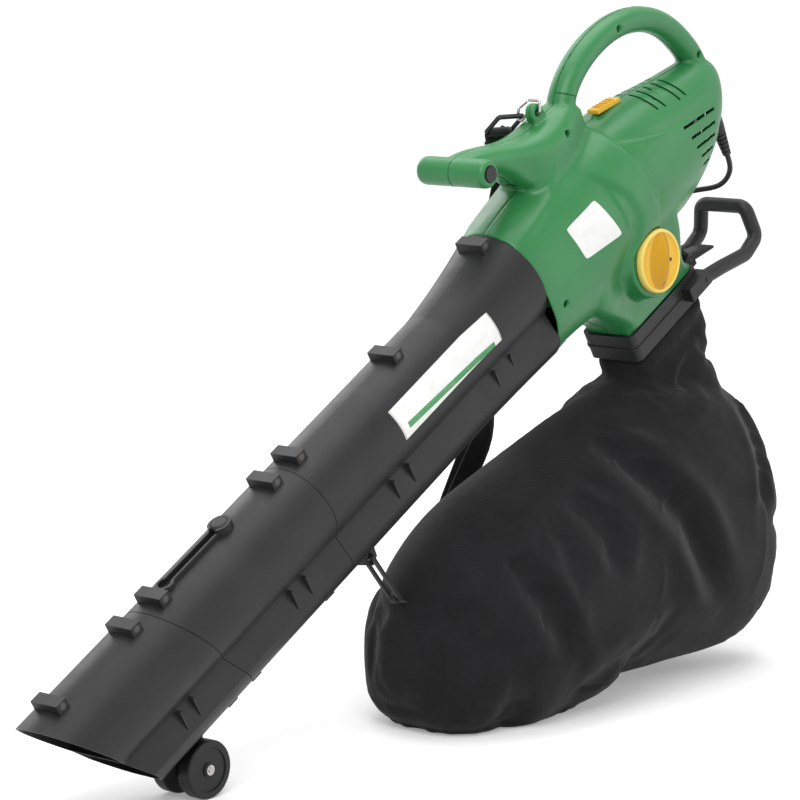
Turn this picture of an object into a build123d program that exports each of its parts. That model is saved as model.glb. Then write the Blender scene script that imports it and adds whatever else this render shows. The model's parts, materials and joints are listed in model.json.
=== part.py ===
"""Electric garden blower and vacuum with a wheeled three-piece tube and a collecting bag.

The machine is laid out in its own tool axes and then leaned back onto its wheels:
  u  along the suction tube, from the mouth up to the motor,
  y  across the machine, the operator's right being positive,
  w  square to the tube, from the blow channel up to the handle.
The zero of u and w is the floor point straight below the wheel axle.
After leaning, X points back to the operator, Z points up and the wheels stand at Z = 0.
"""
import math
import os

from build123d import *

# ---------------------------------------------------------------- stance
LEAN = 31.0                    # tube slope above the floor, degrees
WHEEL_RADIUS = 31.5
WHEEL_WIDTH = 17.0
WHEEL_GAP = 22.0               # space between the two wheels
AXLE_RADIUS = 3.0
AXLE_OVERHANG = 2.5
RUN_CLEARANCE = 0.06           # radial, on every turning fit
SIDE_CLEARANCE = 0.5           # end float of turning pieces
TOUCH = 0.3                    # space between neighbours that do not touch

# ---------------------------------------------------------------- tube
TUBE_RADIUS = 51.5
TUBE_AXIS = 161.0              # height of the suction channel's axis
TUBE_WALL = 2.5
CREASE_HALF = 47.0             # half width at the crease between the channels
CREASE_HEIGHT = 136.0
STEP_HALF = 39.0
STEP_HEIGHT = 124.0
CHANNEL_HALF = 48.0
CHANNEL_HEIGHT = 94.0
KEEL_HALF = 33.0
KEEL_HEIGHT = 70.0
TUBE_FLOOR = 62.0
DIVIDER_HEIGHT = 127.0         # web between the suction and the blow channel
FLARE_RADIUS = 59.0
FLARE_AXIS = 175.0
FLARE_GROWTH = 9.0             # widening of the lower channel at the housing
MOUTH_TOP = -137.0
MOUTH_RAKE = 33.0
NOZZLE_JOINT = 46.0            # at the tube's top line
NOZZLE_RAKE = 24.0
MIDDLE_JOINT = 287.0
FLARE_START = 560.0
HOUSING_JOINT = 690.0
JOINT_GAP = 0.8
SPIGOT_LENGTH = 20.0
SPIGOT_WALL = 2.0
SPIGOT_CLEARANCE = 0.2
LUG_LENGTH = 15.0
LUG_HALF = 19.0
LUG_RISE = 9.0
TOP_LUGS = (-100.0, 20.0, 68.0, 262.0, 306.0, 487.0, 671.0)
KEEL_LUGS = (92.0, 134.0, 268.0, 671.0)
KEEL_LUG_HALF = 12.0
SCREW_RADIUS = 2.0
SCREW_HEAD_RADIUS = 4.0
SCREW_HEAD_DEPTH = 3.0
RIB_LENGTH = 3.0
RIB_PLACES = (2.0, 24.0, 196.0, 221.0, 385.0, 415.0, 585.0, 616.0)

# ---------------------------------------------------------------- nozzle wheel bracket, bag bracket
FIN_THICKNESS = 12.0
FIN_FRONT = -36.0
FIN_BACK = 66.0
BAG_EAR_PLACE = (302.0, 362.0)
BAG_EAR_DROP = 34.0
BAG_EAR_THICKNESS = 5.0
BAG_EAR_HOLE = 5.0

# ---------------------------------------------------------------- tube catch
CATCH_LENGTH = 96.0
CATCH_START = 88.0
CATCH_HALF = 11.0
CATCH_RISE = 5.0
CATCH_WALL = 3.5
CATCH_BUTTON_RADIUS = 10.0
CATCH_BUTTON_RISE = 9.0
CATCH_TRAVEL = 3.0
CATCH_CUP = 12.0                # depth of the button's cup below the tube's top

# ---------------------------------------------------------------- housing
HOUSING_WALL = 3.0
FAN_AXIS = 160.0               # height of the motor and fan axis
FAN_FRONT = 838.0
FAN_BACK = 893.0
FAN_RADIUS = 68.0
EYE_RADIUS = 48.0
DUCT_RADIUS = 53.2             # suction duct where it plugs into the tube
DUCT_AXIS = 173.5
DUCT_FLAT = 147.0
DIAPHRAGM_THICKNESS = 3.0
SHAFT_RADIUS = 4.0
BEARING_RADIUS = 11.0
BEARING_WIDTH = 7.0
FRONT_BEARING = 902.0
REAR_BEARING = 1030.0
STATOR_START = 926.0
STATOR_LENGTH = 56.0
STATOR_RADIUS = 42.0
STATOR_BORE = 24.6
ROTOR_RADIUS = 24.0
COMMUTATOR_RADIUS = 13.0
COMMUTATOR_LENGTH = 16.0
COOLING_FAN_RADIUS = 36.0
BLADE_COUNT = 8
BLADE_THICKNESS = 2.5
BLADE_DEPTH = 34.0
SEAT_HALF = 34.0               # half width of the outlet spigot that the bag frame fits
OUTLET_FRONT = 820.0
OUTLET_BACK = 962.0

# ---------------------------------------------------------------- grips
GRIP_RADIUS = 15.6
GRIP_DEPTH = 17.5
GRIP_WALL = 2.8
BAR_PLACE = (690.0, 320.0)
BAR_RADIUS = 16.5
BAR_HALF = 50.0
CAP_THICKNESS = 4.0
EYELET_PLACE = (838.0, 302.0)
EYELET_RADIUS = 11.0
EYELET_HOLE = 4.5
EYELET_THICKNESS = 12.0

# ---------------------------------------------------------------- switch, selector, gland
SWITCH_PLACE = (950.0, 236.3)
SWITCH_LENGTH = 44.0
SWITCH_WIDTH = 16.0
SWITCH_RISE = 6.0
SWITCH_TRAVEL = 8.0
SWITCH_SLOPE = -13.0
KNOB_PLACE = (868.0, 78.0)
KNOB_RADIUS = 38.0
KNOB_FACE = 82.0               # distance of the knob's face from the middle plane
KNOB_DEPTH = 13.0
BOSS_RADIUS = 47.0
BOSS_FACE = 70.0
SELECTOR_SHAFT = 5.0
SELECTOR_SWING = 67.0
FLAP_THICKNESS = 2.5
FLAP_HALF = 28.0
FLAP_FRONT = 58.0
FLAP_REAR = 50.0
CORD_RADIUS = 3.3

# ---------------------------------------------------------------- bag frame and bag
FRAME_HALF = 38.0
FRAME_FRONT = 816.0
FRAME_BACK = 966.0
FRAME_TOP = -1.0
FRAME_DEPTH = 30.0
FRAME_WALL = 5.0
BAIL_RADIUS = 10.0
BAIL_HALF = 43.0
LATCH_PIN_RADIUS = 2.5
LATCH_PLACE = (984.0, -8.0)
LATCH_HALF = 11.0
LATCH_SWING = 35.0
BAG_WALL = 2.0
BAG_HALF = 125.0
BAG_TOP_DROP = 5.0

# ---------------------------------------------------------------- strap
STRAP_WIDTH = 38.0
STRAP_THICKNESS = 2.2
RING_WIRE = 2.0
RING_HALF = 22.0
HOOK_WIRE = 1.8


# ================================================================ helpers
def leaned(shape):
    """Turn a shape from the tool axes to the standing position."""
    return shape.moved(Rot(0, -LEAN, 0))


def across(u):
    """Plane square to the tube at u, with local x across and local y along w."""
    return Plane(origin=(u, 0, 0), x_dir=(0, 1, 0), z_dir=(1, 0, 0))


def side(y=0.0):
    """Plane along the machine at y, with local x along u and local y along w."""
    return Plane(origin=(0, y, 0), x_dir=(1, 0, 0), z_dir=(0, -1, 0))


def level(w):
    """Plane parallel to the tube at height w, with local x along u and local y across."""
    return Plane(origin=(0, 0, w), x_dir=(1, 0, 0), z_dir=(0, 0, 1))


def slab(points, half):
    """Prism of a u, w outline, reaching half to each side of the middle plane."""
    outline = side(half) * make_face(Polyline(*points, close=True))
    return extrude(outline, 2 * half)


def cross_pin(place, radius, y_from, y_to):
    """Cylinder across the machine, centred on place."""
    disc = side(y_to) * Pos(*place) * Circle(radius)
    return extrude(disc, y_to - y_from)


def axial(radius, u_from, u_to, offset=0.0):
    """Cylinder along the tube, offset sideways from the fan's axis."""
    return extrude(across(u_from) * Pos(offset, FAN_AXIS) * Circle(radius), u_to - u_from)


def box(u_range, y_range, w_range):
    """Block between two corners."""
    size = (u_range[1] - u_range[0], y_range[1] - y_range[0], w_range[1] - w_range[0])
    corner = (u_range[0], y_range[0], w_range[0])
    return Pos(*corner) * Box(*size, align=(Align.MIN, Align.MIN, Align.MIN))


def halves(shape):
    """Split a shape at the middle plane into its left and right parts."""
    reach = 2000.0
    left = shape & box((-reach, reach), (-reach, 0), (-reach, reach))
    right = shape & box((-reach, reach), (0, reach), (-reach, reach))
    return left, right


def raked(top_u, rake, w):
    """Place along the tube of a raked cut at height w, the cut meeting the top line at top_u."""
    return top_u + (TUBE_AXIS + TUBE_RADIUS - w) * math.tan(math.radians(rake))


def mirrored(points):
    """Right-hand outline points, from top to bottom, followed by their mirror images."""
    back = [(-x, z) for x, z in reversed(points) if x > 0]
    return list(points) + back


# ================================================================ tube sections
def tube_outline(inset, flare):
    """Outer outline of the tube; flare runs from 0 on the plain tube to 1 at the housing."""
    radius = TUBE_RADIUS + flare * (FLARE_RADIUS - TUBE_RADIUS) - inset
    axis = TUBE_AXIS + flare * (FLARE_AXIS - TUBE_AXIS)
    grow = flare * FLARE_GROWTH - inset
    crease = (CREASE_HALF + flare * (FLARE_RADIUS - TUBE_RADIUS) - inset, CREASE_HEIGHT + flare * 2)
    step = (STEP_HALF + grow, STEP_HEIGHT + flare * 4)
    channel = (CHANNEL_HALF + grow, CHANNEL_HEIGHT)
    keel = (KEEL_HALF + grow * 0.7, KEEL_HEIGHT + inset * 0.7)
    floor = (0, TUBE_FLOOR + inset)
    left = [(-x, z) for x, z in (crease, step, channel, keel)]
    lines = [
        ThreePointArc(left[0], (0, axis + radius), crease),
        Line(crease, step),
        Line(step, channel),
        ThreePointArc(channel, keel, floor),
        ThreePointArc(floor, left[3], left[2]),
        Line(left[2], left[1]),
        Line(left[1], left[0]),
    ]
    return make_face(lines)


def tube_body(inset, u_from, u_to):
    """Solid of the tube's outline between two stations, with the flare near the housing."""
    plain_end = min(u_to, FLARE_START)
    body = extrude(across(u_from) * tube_outline(inset, 0), plain_end - u_from)
    if u_to > FLARE_START:
        middle = (FLARE_START + HOUSING_JOINT) / 2
        stations = [(FLARE_START, 0.0), (middle, 0.4), (u_to, 1.0)]
        body += loft([across(u) * tube_outline(inset, flare) for u, flare in stations])
    return body


def divider(u_from, u_to):
    """Web that parts the suction channel from the blow channel."""
    half = TUBE_WALL / 2
    return box((u_from, u_to), (-90, 90), (DIVIDER_HEIGHT - half, DIVIDER_HEIGHT + half))


def tube_shell(u_from, u_to):
    """Hollow tube with its two channels."""
    outer = tube_body(0, u_from, u_to)
    inner = tube_body(TUBE_WALL, u_from, u_to)
    return outer - (inner - divider(u_from, u_to))


def spigot(u_from, u_to):
    """Thin ring that plugs into the suction channel of the next piece."""
    start = TUBE_WALL + SPIGOT_CLEARANCE
    ring = tube_body(start, u_from, u_to) - tube_body(start + SPIGOT_WALL, u_from - 1, u_to + 1)
    keep = DIVIDER_HEIGHT + TUBE_WALL / 2 + SPIGOT_CLEARANCE
    return ring & box((u_from - 1, u_to + 1), (-90, 90), (keep, 300))


def flare_at(u):
    """Share of the flare reached at station u."""
    return max(0.0, (u - FLARE_START) / (HOUSING_JOINT - FLARE_START))


def crest(u):
    """Height of the tube's top line at station u."""
    rise = FLARE_AXIS + FLARE_RADIUS - TUBE_AXIS - TUBE_RADIUS
    return TUBE_AXIS + TUBE_RADIUS + rise * flare_at(u) ** 1.2


def top_lug(u):
    """Screw lug across the tube's top line."""
    top = crest(u) + LUG_RISE
    sunk = crest(u) - 9
    return box((u - LUG_LENGTH / 2, u + LUG_LENGTH / 2), (-LUG_HALF, LUG_HALF), (sunk, top))


def keel_lug(u):
    """Screw lug below the blow channel."""
    lengths = (u - LUG_LENGTH / 2, u + LUG_LENGTH / 2)
    return box(lengths, (-KEEL_LUG_HALF, KEEL_LUG_HALF), (TUBE_FLOOR - 11, TUBE_FLOOR + TUBE_WALL))


def lug_screw_places():
    """Centres, and head faces, of the screws that close the tube."""
    tops = [((u, crest(u) + LUG_RISE / 2 - 1), LUG_HALF) for u in TOP_LUGS]
    keels = [((u, TUBE_FLOOR - 5.5), KEEL_LUG_HALF) for u in KEEL_LUGS]
    return tops + keels


def screw(place, head_face, grow=0.0):
    """Cross screw with its head on the left side, grow enlarging it to make its hole."""
    head_start = -head_face + 2
    shank = cross_pin(place, SCREW_RADIUS + grow, head_start, head_face - 3 + grow)
    head = cross_pin(place, SCREW_HEAD_RADIUS + grow, -head_face - grow, head_start + SCREW_HEAD_DEPTH)
    return shank + head


def lug_recess(place, head_face):
    """Hole of a lug screw, open at the head."""
    clearance = 0.05
    shank = cross_pin(place, SCREW_RADIUS + clearance, -head_face, head_face - 2.5)
    head = cross_pin(place, SCREW_HEAD_RADIUS + clearance, -head_face - 1, -head_face + 2 + SCREW_HEAD_DEPTH)
    return shank + head


def side_ribs(places):
    """Short ribs under the crease on both flanks."""
    ribs = []
    for u in places:
        for sign in (-1, 1):
            inner, outer = sorted((sign * (STEP_HALF - 1), sign * (CHANNEL_HALF - 1)))
            ribs.append(box((u, u + RIB_LENGTH), (inner, outer), (STEP_HEIGHT - 24, STEP_HEIGHT - 1)))
    return ribs


# ================================================================ tube pieces
def tube_piece(front, back, tops, keels, ribs, extras=()):
    """One tube piece between two u, w cut lines, as left and right shells."""
    start = min(front[0][0], front[1][0]) - 1
    end = max(back[0][0], back[1][0]) + 1
    solid = tube_shell(start, end)
    for u in tops:
        solid += top_lug(u) - tube_body(TUBE_WALL, start, end)
    for u in keels:
        solid += keel_lug(u)
    for rib in side_ribs(ribs):
        solid += rib - tube_body(TUBE_WALL, start, end)
    solid = solid & slab([front[0], back[0], back[1], front[1]], 120)
    for extra in extras:
        solid += extra
    for place, face in lug_screw_places():
        if start < place[0] < end:
            solid -= lug_recess(place, face)
    return solid


def cut_line(top_u, rake, shift):
    """Two u, w points of a cut across the tube, moved along u by shift."""
    high, low = 330.0, 20.0
    return ((raked(top_u, rake, high) + shift, high), (raked(top_u, rake, low) + shift, low))


def wheel_fin():
    """Bracket that carries the wheel axle."""
    hub = wheel_centre()
    outline = [(FIN_FRONT, TUBE_FLOOR + 8), (FIN_BACK, TUBE_FLOOR + 2), (FIN_BACK - 22, TUBE_FLOOR - 12),
               (hub[0] + 11, hub[1] - 2), (hub[0], hub[1] - 11), (hub[0] - 10, hub[1] - 4),
               (FIN_FRONT + 4, TUBE_FLOOR - 8)]
    fin = slab(outline, FIN_THICKNESS / 2)
    hub_ring = cross_pin(hub, 11, -WHEEL_GAP / 2 + SIDE_CLEARANCE, WHEEL_GAP / 2 - SIDE_CLEARANCE)
    return fin + hub_ring - cross_pin(hub, AXLE_RADIUS, -WHEEL_GAP, WHEEL_GAP)


def wheel_centre():
    """Axle's u, w place."""
    return (WHEEL_RADIUS * math.sin(math.radians(LEAN)), WHEEL_RADIUS * math.cos(math.radians(LEAN)))


def bag_ear():
    """Triangular plate below the upper tube, with the hole for the bag's hook."""
    start, end = BAG_EAR_PLACE
    low = TUBE_FLOOR - BAG_EAR_DROP
    outline = [(start, TUBE_FLOOR + 4), (end, TUBE_FLOOR + 4), (end - 4, low + 6), (end - 14, low)]
    plate = slab(outline, BAG_EAR_THICKNESS / 2)
    foot = box((start + 6, end - 2), (-9, 9), (TUBE_FLOOR - 4, TUBE_FLOOR + TUBE_WALL))
    return plate + foot - cross_pin(bag_ear_hole(), BAG_EAR_HOLE, -20, 20)


def bag_ear_hole():
    """Centre of the bag hook's hole."""
    return (BAG_EAR_PLACE[1] - 15, TUBE_FLOOR - BAG_EAR_DROP + 14)


def catch_track():
    """Raised keyhole rim on top of the middle tube, around the catch button."""
    end = CATCH_START + CATCH_LENGTH
    base, top = crest(0) - 5, crest(0) + CATCH_RISE
    height = top - base
    cup = level(crest(0) - CATCH_CUP - 2)
    ring = extrude(cup * Pos(end, 0) * Circle(CATCH_BUTTON_RADIUS + CATCH_WALL), CATCH_CUP + 5 + CATCH_RISE)
    run = extrude(level(base) * keyhole(0), height)
    hollow = extrude(level(base + 4) * keyhole(CATCH_WALL), height + 5)
    return ring + run, hollow + catch_bore()


def keyhole(inset):
    """Plan of the catch track, inset from its outer line."""
    end = CATCH_START + CATCH_LENGTH
    nose = Pos(CATCH_START, 0) * Circle(CATCH_HALF - inset)
    waist = Pos((CATCH_START + end) / 2, 0) * Rectangle(end - CATCH_START, 2 * (CATCH_HALF - 4 - inset * 0.7))
    return nose + waist


def catch_bore():
    """Round bore that guides the catch button."""
    place = CATCH_START + CATCH_LENGTH
    bore = Circle(CATCH_BUTTON_RADIUS + RUN_CLEARANCE)
    return extrude(level(crest(0) - CATCH_CUP) * Pos(place, 0) * bore, 40)


def nozzle_tube():
    """Lowest tube piece with the raked mouth and the wheel bracket."""
    joint = cut_line(NOZZLE_JOINT, NOZZLE_RAKE, -JOINT_GAP / 2)
    mouth = cut_line(MOUTH_TOP, MOUTH_RAKE, 0)
    tops = TOP_LUGS[:2]
    return tube_piece(mouth, joint, tops, KEEL_LUGS[:1], RIB_PLACES[:2], (wheel_fin(),))


def middle_tube():
    """Middle tube piece with the catch track and a spigot into the nozzle."""
    joint = cut_line(NOZZLE_JOINT, NOZZLE_RAKE, JOINT_GAP / 2)
    end = cut_line(MIDDLE_JOINT, 0, -JOINT_GAP / 2)
    body = tube_piece(joint, end, TOP_LUGS[2:4], KEEL_LUGS[1:3], RIB_PLACES[2:4])
    track, hollow = catch_track()
    start = NOZZLE_JOINT - SPIGOT_LENGTH
    sleeve = spigot(start, raked(NOZZLE_JOINT, NOZZLE_RAKE, DIVIDER_HEIGHT) + SPIGOT_LENGTH)
    front = cut_line(NOZZLE_JOINT, NOZZLE_RAKE, -SPIGOT_LENGTH)
    back = cut_line(NOZZLE_JOINT, NOZZLE_RAKE, SPIGOT_LENGTH / 2)
    sleeve = sleeve & slab([front[0], back[0], back[1], front[1]], 120)
    root = tube_body(TUBE_WALL - 0.5, start, start + 3 * SPIGOT_LENGTH) - tube_body(
        TUBE_WALL + SPIGOT_CLEARANCE + 0.1, start - 1, start + 3 * SPIGOT_LENGTH + 1)
    seat = cut_line(NOZZLE_JOINT, NOZZLE_RAKE, JOINT_GAP / 2)
    root = root & slab([seat[0], back[0], back[1], seat[1]], 120)
    root = root & box((-500, 900), (-90, 90), (DIVIDER_HEIGHT + TUBE_WALL, 300))
    return (body + track) - (hollow & box((-500, 900), (-90, 90), (crest(0) - 30, 400))) + sleeve + root


def upper_tube():
    """Top tube piece, flared to the housing, with a spigot into the middle tube."""
    front = cut_line(MIDDLE_JOINT, 0, JOINT_GAP / 2)
    end = cut_line(HOUSING_JOINT, 0, -JOINT_GAP / 2)
    body = tube_piece(front, end, TOP_LUGS[4:], KEEL_LUGS[3:], RIB_PLACES[4:], (bag_ear(),))
    start = MIDDLE_JOINT - SPIGOT_LENGTH
    sleeve = spigot(start, MIDDLE_JOINT + SPIGOT_LENGTH / 2)
    root = tube_body(TUBE_WALL - 0.5, MIDDLE_JOINT + JOINT_GAP / 2, MIDDLE_JOINT + SPIGOT_LENGTH / 2)
    root -= tube_body(TUBE_WALL + SPIGOT_CLEARANCE + 0.1, MIDDLE_JOINT - 1, MIDDLE_JOINT + SPIGOT_LENGTH)
    root = root & box((-500, 900), (-90, 90), (DIVIDER_HEIGHT + TUBE_WALL, 300))
    return body + sleeve + root


# ================================================================ housing forms
def smooth_outline(points):
    """Closed smooth outline through right-hand points and their mirror images."""
    return make_face(Spline(*mirrored(points), periodic=True))


def funnel_form(inset):
    """Flaring front of the housing and the fan's scroll, as one lofted body."""
    stations = [
        (HOUSING_JOINT, 234.0, 59.0, 175.0, 58.0, 104.0, 62.0),
        (740.0, 241.0, 65.0, 172.0, 61.0, 104.0, 60.0),
        (800.0, 246.0, 73.0, 168.0, 64.0, 98.0, 52.0),
        (840.0, 248.0, 79.0, 164.0, 66.0, 92.0, 46.0),
        (896.0, 248.0, 79.0, 162.0, 66.0, 90.0, 46.0),
    ]
    sections = []
    for u, top, half, middle, low_half, low, floor in stations:
        shoulder = (half * 0.72 - inset * 0.7, middle + (top - middle) * 0.70 - inset * 0.7)
        points = [(0, top - inset), shoulder, (half - inset, middle), (low_half - inset, low),
                  (low_half * 0.62 - inset * 0.7, floor + 9 + inset * 0.7), (0, floor + inset)]
        sections.append(across(u) * smooth_outline(points))
    return loft(sections)


def scroll_rim(inset):
    """Proud round rim of the fan chamber."""
    rim = axial(82.0 - inset, FAN_FRONT - 4 + inset, FAN_BACK + 4 - inset)
    if inset == 0:
        rim = chamfer(rim.edges().filter_by(GeomType.CIRCLE), 5)
    return rim


def motor_form(inset):
    """Tapering barrel around the motor with a domed end."""
    stations = [
        (FAN_BACK - 20, 247.0, 62.0, 76.0),
        (960.0, 233.0, 60.0, 69.0),
        (1020.0, 219.0, 66.0, 60.0),
        (1075.0, 205.0, 88.0, 50.0),
        (1112.0, 197.0, 116.0, 38.0),
        (1136.0, 187.0, 146.0, 21.0),
    ]
    sections = []
    for u, top, floor, half in stations:
        shift = -inset if u > 1130 else 0
        ellipse = Ellipse(half - inset, (top - floor) / 2 - inset)
        sections.append(across(u + shift) * Pos(0, (top + floor) / 2) * ellipse)
    return loft(sections)


def duct_form(inset):
    """Lower air duct, from the fan down to the outlet that the bag frame fits."""
    stations = [
        (104.0, 764.0, 950.0, 62.0),
        (62.0, 772.0, 949.0, 56.0),
        (26.0, 804.0, 950.0, 45.0),
        (0.0, OUTLET_FRONT, OUTLET_BACK, FRAME_HALF - 1),
    ]
    sections = []
    for w, start, end, half in stations:
        outline = RectangleRounded(end - start - 2 * inset, 2 * (half - inset), 18 - inset)
        sections.append(level(w) * Pos((start + end) / 2, 0) * outline)
    return loft(sections)


def outlet_spigot():
    """Rectangular spigot below the duct, for the bag frame to fit over."""
    lengths = (FRAME_FRONT + FRAME_WALL + TOUCH, FRAME_BACK - FRAME_WALL - TOUCH)
    half = FRAME_HALF - FRAME_WALL - TOUCH
    depth = 14.0
    outer = box(lengths, (-half, half), (-depth, 6))
    wall = HOUSING_WALL
    inner = box((lengths[0] + wall, lengths[1] - wall), (-half + wall, half - wall), (-depth - 1, 20))
    return outer, inner


def handle_path(extension=0.0):
    """Centre line of the main handle in the middle plane."""
    u, w = 872.0, 262.0
    points = [(u, w - extension), (888, 288), (920, 305.5), (962, 313), (1005, 310), (1050, 294),
              (1088, 264), (1112, 224), (1122, 182), (1110, 150 - extension)]
    return side() * Spline(*points)


def handle_form(inset):
    """Main handle swept along its centre line."""
    path = handle_path()
    start = Plane(origin=path @ 0, x_dir=(0, 1, 0), z_dir=path % 0)
    return sweep(start * Ellipse(GRIP_DEPTH - inset, GRIP_RADIUS - inset), path)


def neck_form(inset):
    """Neck that carries the front grip and runs back into the handle's root."""
    stations = [
        (BAR_PLACE[0], 335.5, 304.5, 20.0),
        (722.0, 328.0, 297.0, 22.0),
        (752.0, 314.0, 270.0, 25.0),
        (776.0, 303.0, 225.0, 30.0),
        (810.0, 293.0, 190.0, 36.0),
        (850.0, 291.0, 180.0, 34.0),
        (892.0, 280.0, 190.0, 22.0),
    ]
    sections = []
    for u, top, floor, half in stations:
        outline = RectangleRounded(2 * (half - inset), top - floor - 2 * inset, half * 0.7 - inset)
        sections.append(across(u) * Pos(0, (top + floor) / 2) * outline)
    return loft(sections)


def bar_form(inset):
    """Front grip bar across the machine, with rounded ends."""
    radius = BAR_RADIUS - inset
    half = BAR_HALF - inset
    bar = cross_pin(BAR_PLACE, radius, -half, half)
    return fillet(bar.edges().filter_by(GeomType.CIRCLE), radius * 0.45)


def knob_boss():
    """Round pad on the left flank, under the selector knob."""
    foot = side(-BOSS_FACE + 38) * Pos(*KNOB_PLACE) * Circle(BOSS_RADIUS + 6)
    face = side(-BOSS_FACE) * Pos(*KNOB_PLACE) * Circle(BOSS_RADIUS - 3)
    return loft([foot, face])


def knob_boss_hollow():
    """Hollow behind the knob's pad."""
    foot = side(-BOSS_FACE + 45) * Pos(*KNOB_PLACE) * Circle(BOSS_RADIUS + 2)
    face = side(-BOSS_FACE + HOUSING_WALL) * Pos(*KNOB_PLACE) * Circle(BOSS_RADIUS - 3 - HOUSING_WALL)
    return loft([foot, face])


def eyelet():
    """Ring on the neck for the strap's hook."""
    u, w = EYELET_PLACE
    half = EYELET_THICKNESS / 2
    ring = cross_pin(EYELET_PLACE, EYELET_RADIUS, -half, half)
    return ring + box((u - EYELET_RADIUS, u + EYELET_RADIUS), (-half, half), (w - 22, w - 4))


# ================================================================ housing shells
HOUSING_SCREWS = ((712.0, 128.0), (736.0, 53.0), (843.0, 271.0), (962.0, 76.0), (1086.0, 122.0),
                  (1121.0, 200.0), (1003.0, 311.0))
SCREW_SEAT = 8.0               # depth of a housing screw's seat from the middle plane
SCREW_TIP = 14.0
SCREW_BOSS = 6.5
HOUSING_LUG = 736.0
SIDE_SLOTS = ((1041.0, 162.0, 75.0), (1039.0, 147.0, 62.0), (1037.0, 133.0, 52.0),
              (1035.0, 119.0, 36.0), (1031.0, 107.0, 22.0))
SIDE_SLOT_SLOPE = -15.0
SLOT_WIDTH = 3.0
TOP_SLOTS = 5
TOP_SLOT_START = 990.0
TOP_SLOT_PITCH = 14.0
TOP_SLOT_REACH = (5.0, 40.0)


def housing_chamber():
    """Air space of the housing: funnel, fan chamber, duct and motor bay."""
    space = funnel_form(HOUSING_WALL) + scroll_rim(HOUSING_WALL) + duct_form(HOUSING_WALL)
    return space + motor_form(HOUSING_WALL) + knob_boss_hollow()


def housing_skin():
    """Outside of the housing without its hollows."""
    outer = funnel_form(0) + scroll_rim(0) + duct_form(0) + motor_form(0) + neck_form(0)
    lug_ends = (HOUSING_LUG - LUG_LENGTH / 2, HOUSING_LUG + LUG_LENGTH / 2)
    lug = box(lug_ends, (-KEEL_LUG_HALF, KEEL_LUG_HALF), (TUBE_FLOOR - 15, TUBE_FLOOR + 6))
    outer = outer + handle_form(0) + bar_form(0) + knob_boss() + eyelet() + outlet_spigot()[0] + lug
    return outer


def grip_space():
    """Hollow of the neck, the handle and the front grip, apart from the air space."""
    grips = neck_form(HOUSING_WALL) + handle_form(GRIP_WALL) + bar_form(HOUSING_WALL)
    return grips - (funnel_form(0) + scroll_rim(0) + motor_form(0))


def strap_bar():
    """Bar on the right flank that the strap's rear end is looped over."""
    u, w = STRAP_ANCHOR
    turn = math.radians(STRAP_BAR_ANGLE)
    step = (math.cos(turn), math.sin(turn))
    ends = []
    for sign in (-1, 1):
        place = (u + sign * STRAP_BAR_HALF * step[0], w + sign * STRAP_BAR_HALF * step[1])
        ends.append(cross_pin(place, STRAP_BAR_RADIUS + 1, 50, STRAP_BAR_REACH + STRAP_BAR_RADIUS + 1))
    origin = (u - step[0] * STRAP_BAR_HALF, STRAP_BAR_REACH, w - step[1] * STRAP_BAR_HALF)
    plane = Plane(origin=origin, z_dir=(step[0], 0, step[1]))
    bar = extrude(plane * Circle(STRAP_BAR_RADIUS), 2 * STRAP_BAR_HALF)
    return bar + ends[0] + ends[1] - motor_form(HOUSING_WALL / 2)


def housing_bosses():
    """Screw bosses across the hollow housing."""
    bosses = []
    for place in HOUSING_SCREWS:
        bosses.append(cross_pin(place, SCREW_BOSS, -90, 90))
    return bosses


def housing_holes():
    """Screw pockets, vents, switch slot, shaft bores, cord hole and end cap seats."""
    holes = []
    for place in HOUSING_SCREWS:
        holes.append(cross_pin(place, SCREW_HEAD_RADIUS + TOUCH, -100, -SCREW_SEAT))
        holes.append(cross_pin(place, SCREW_RADIUS + 0.05, -SCREW_SEAT - 1, SCREW_TIP + 0.5))
    for u, w, length in SIDE_SLOTS:
        for sign in (-1, 1):
            slot = Pos(u, sign * 57, w) * Rot(0, -SIDE_SLOT_SLOPE, 0) * Box(length, 36, SLOT_WIDTH)
            holes.append(slot)
    for k in range(TOP_SLOTS):
        u = TOP_SLOT_START + k * TOP_SLOT_PITCH
        near, far = TOP_SLOT_REACH
        holes.append(box((u, u + SLOT_WIDTH), (-far, -near), (180, 260)))
        holes.append(box((u, u + SLOT_WIDTH), (near, far), (180, 260)))
    holes.append(switch_slot())
    holes.append(cross_pin(KNOB_PLACE, SELECTOR_SHAFT + RUN_CLEARANCE, -KNOB_FACE, SHAFT_END))
    holes.append(gland_solid(0.15))
    holes.append(cross_pin(EYELET_PLACE, EYELET_HOLE, -20, 20))
    for sign in (-1, 1):
        ends = sorted((sign * (BAR_HALF - CAP_THICKNESS - 0.05), sign * (BAR_HALF + 10)))
        holes.append(cross_pin(BAR_PLACE, CAP_RADIUS + 0.05, *ends))
    return holes


SHAFT_END = 52.0
CAP_RADIUS = 9.0
STRAP_ANCHOR = (930.0, 120.0)
STRAP_BAR_ANGLE = -52.0
STRAP_BAR_HALF = 24.0
STRAP_BAR_RADIUS = 2.5
STRAP_BAR_REACH = 80.0


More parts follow.
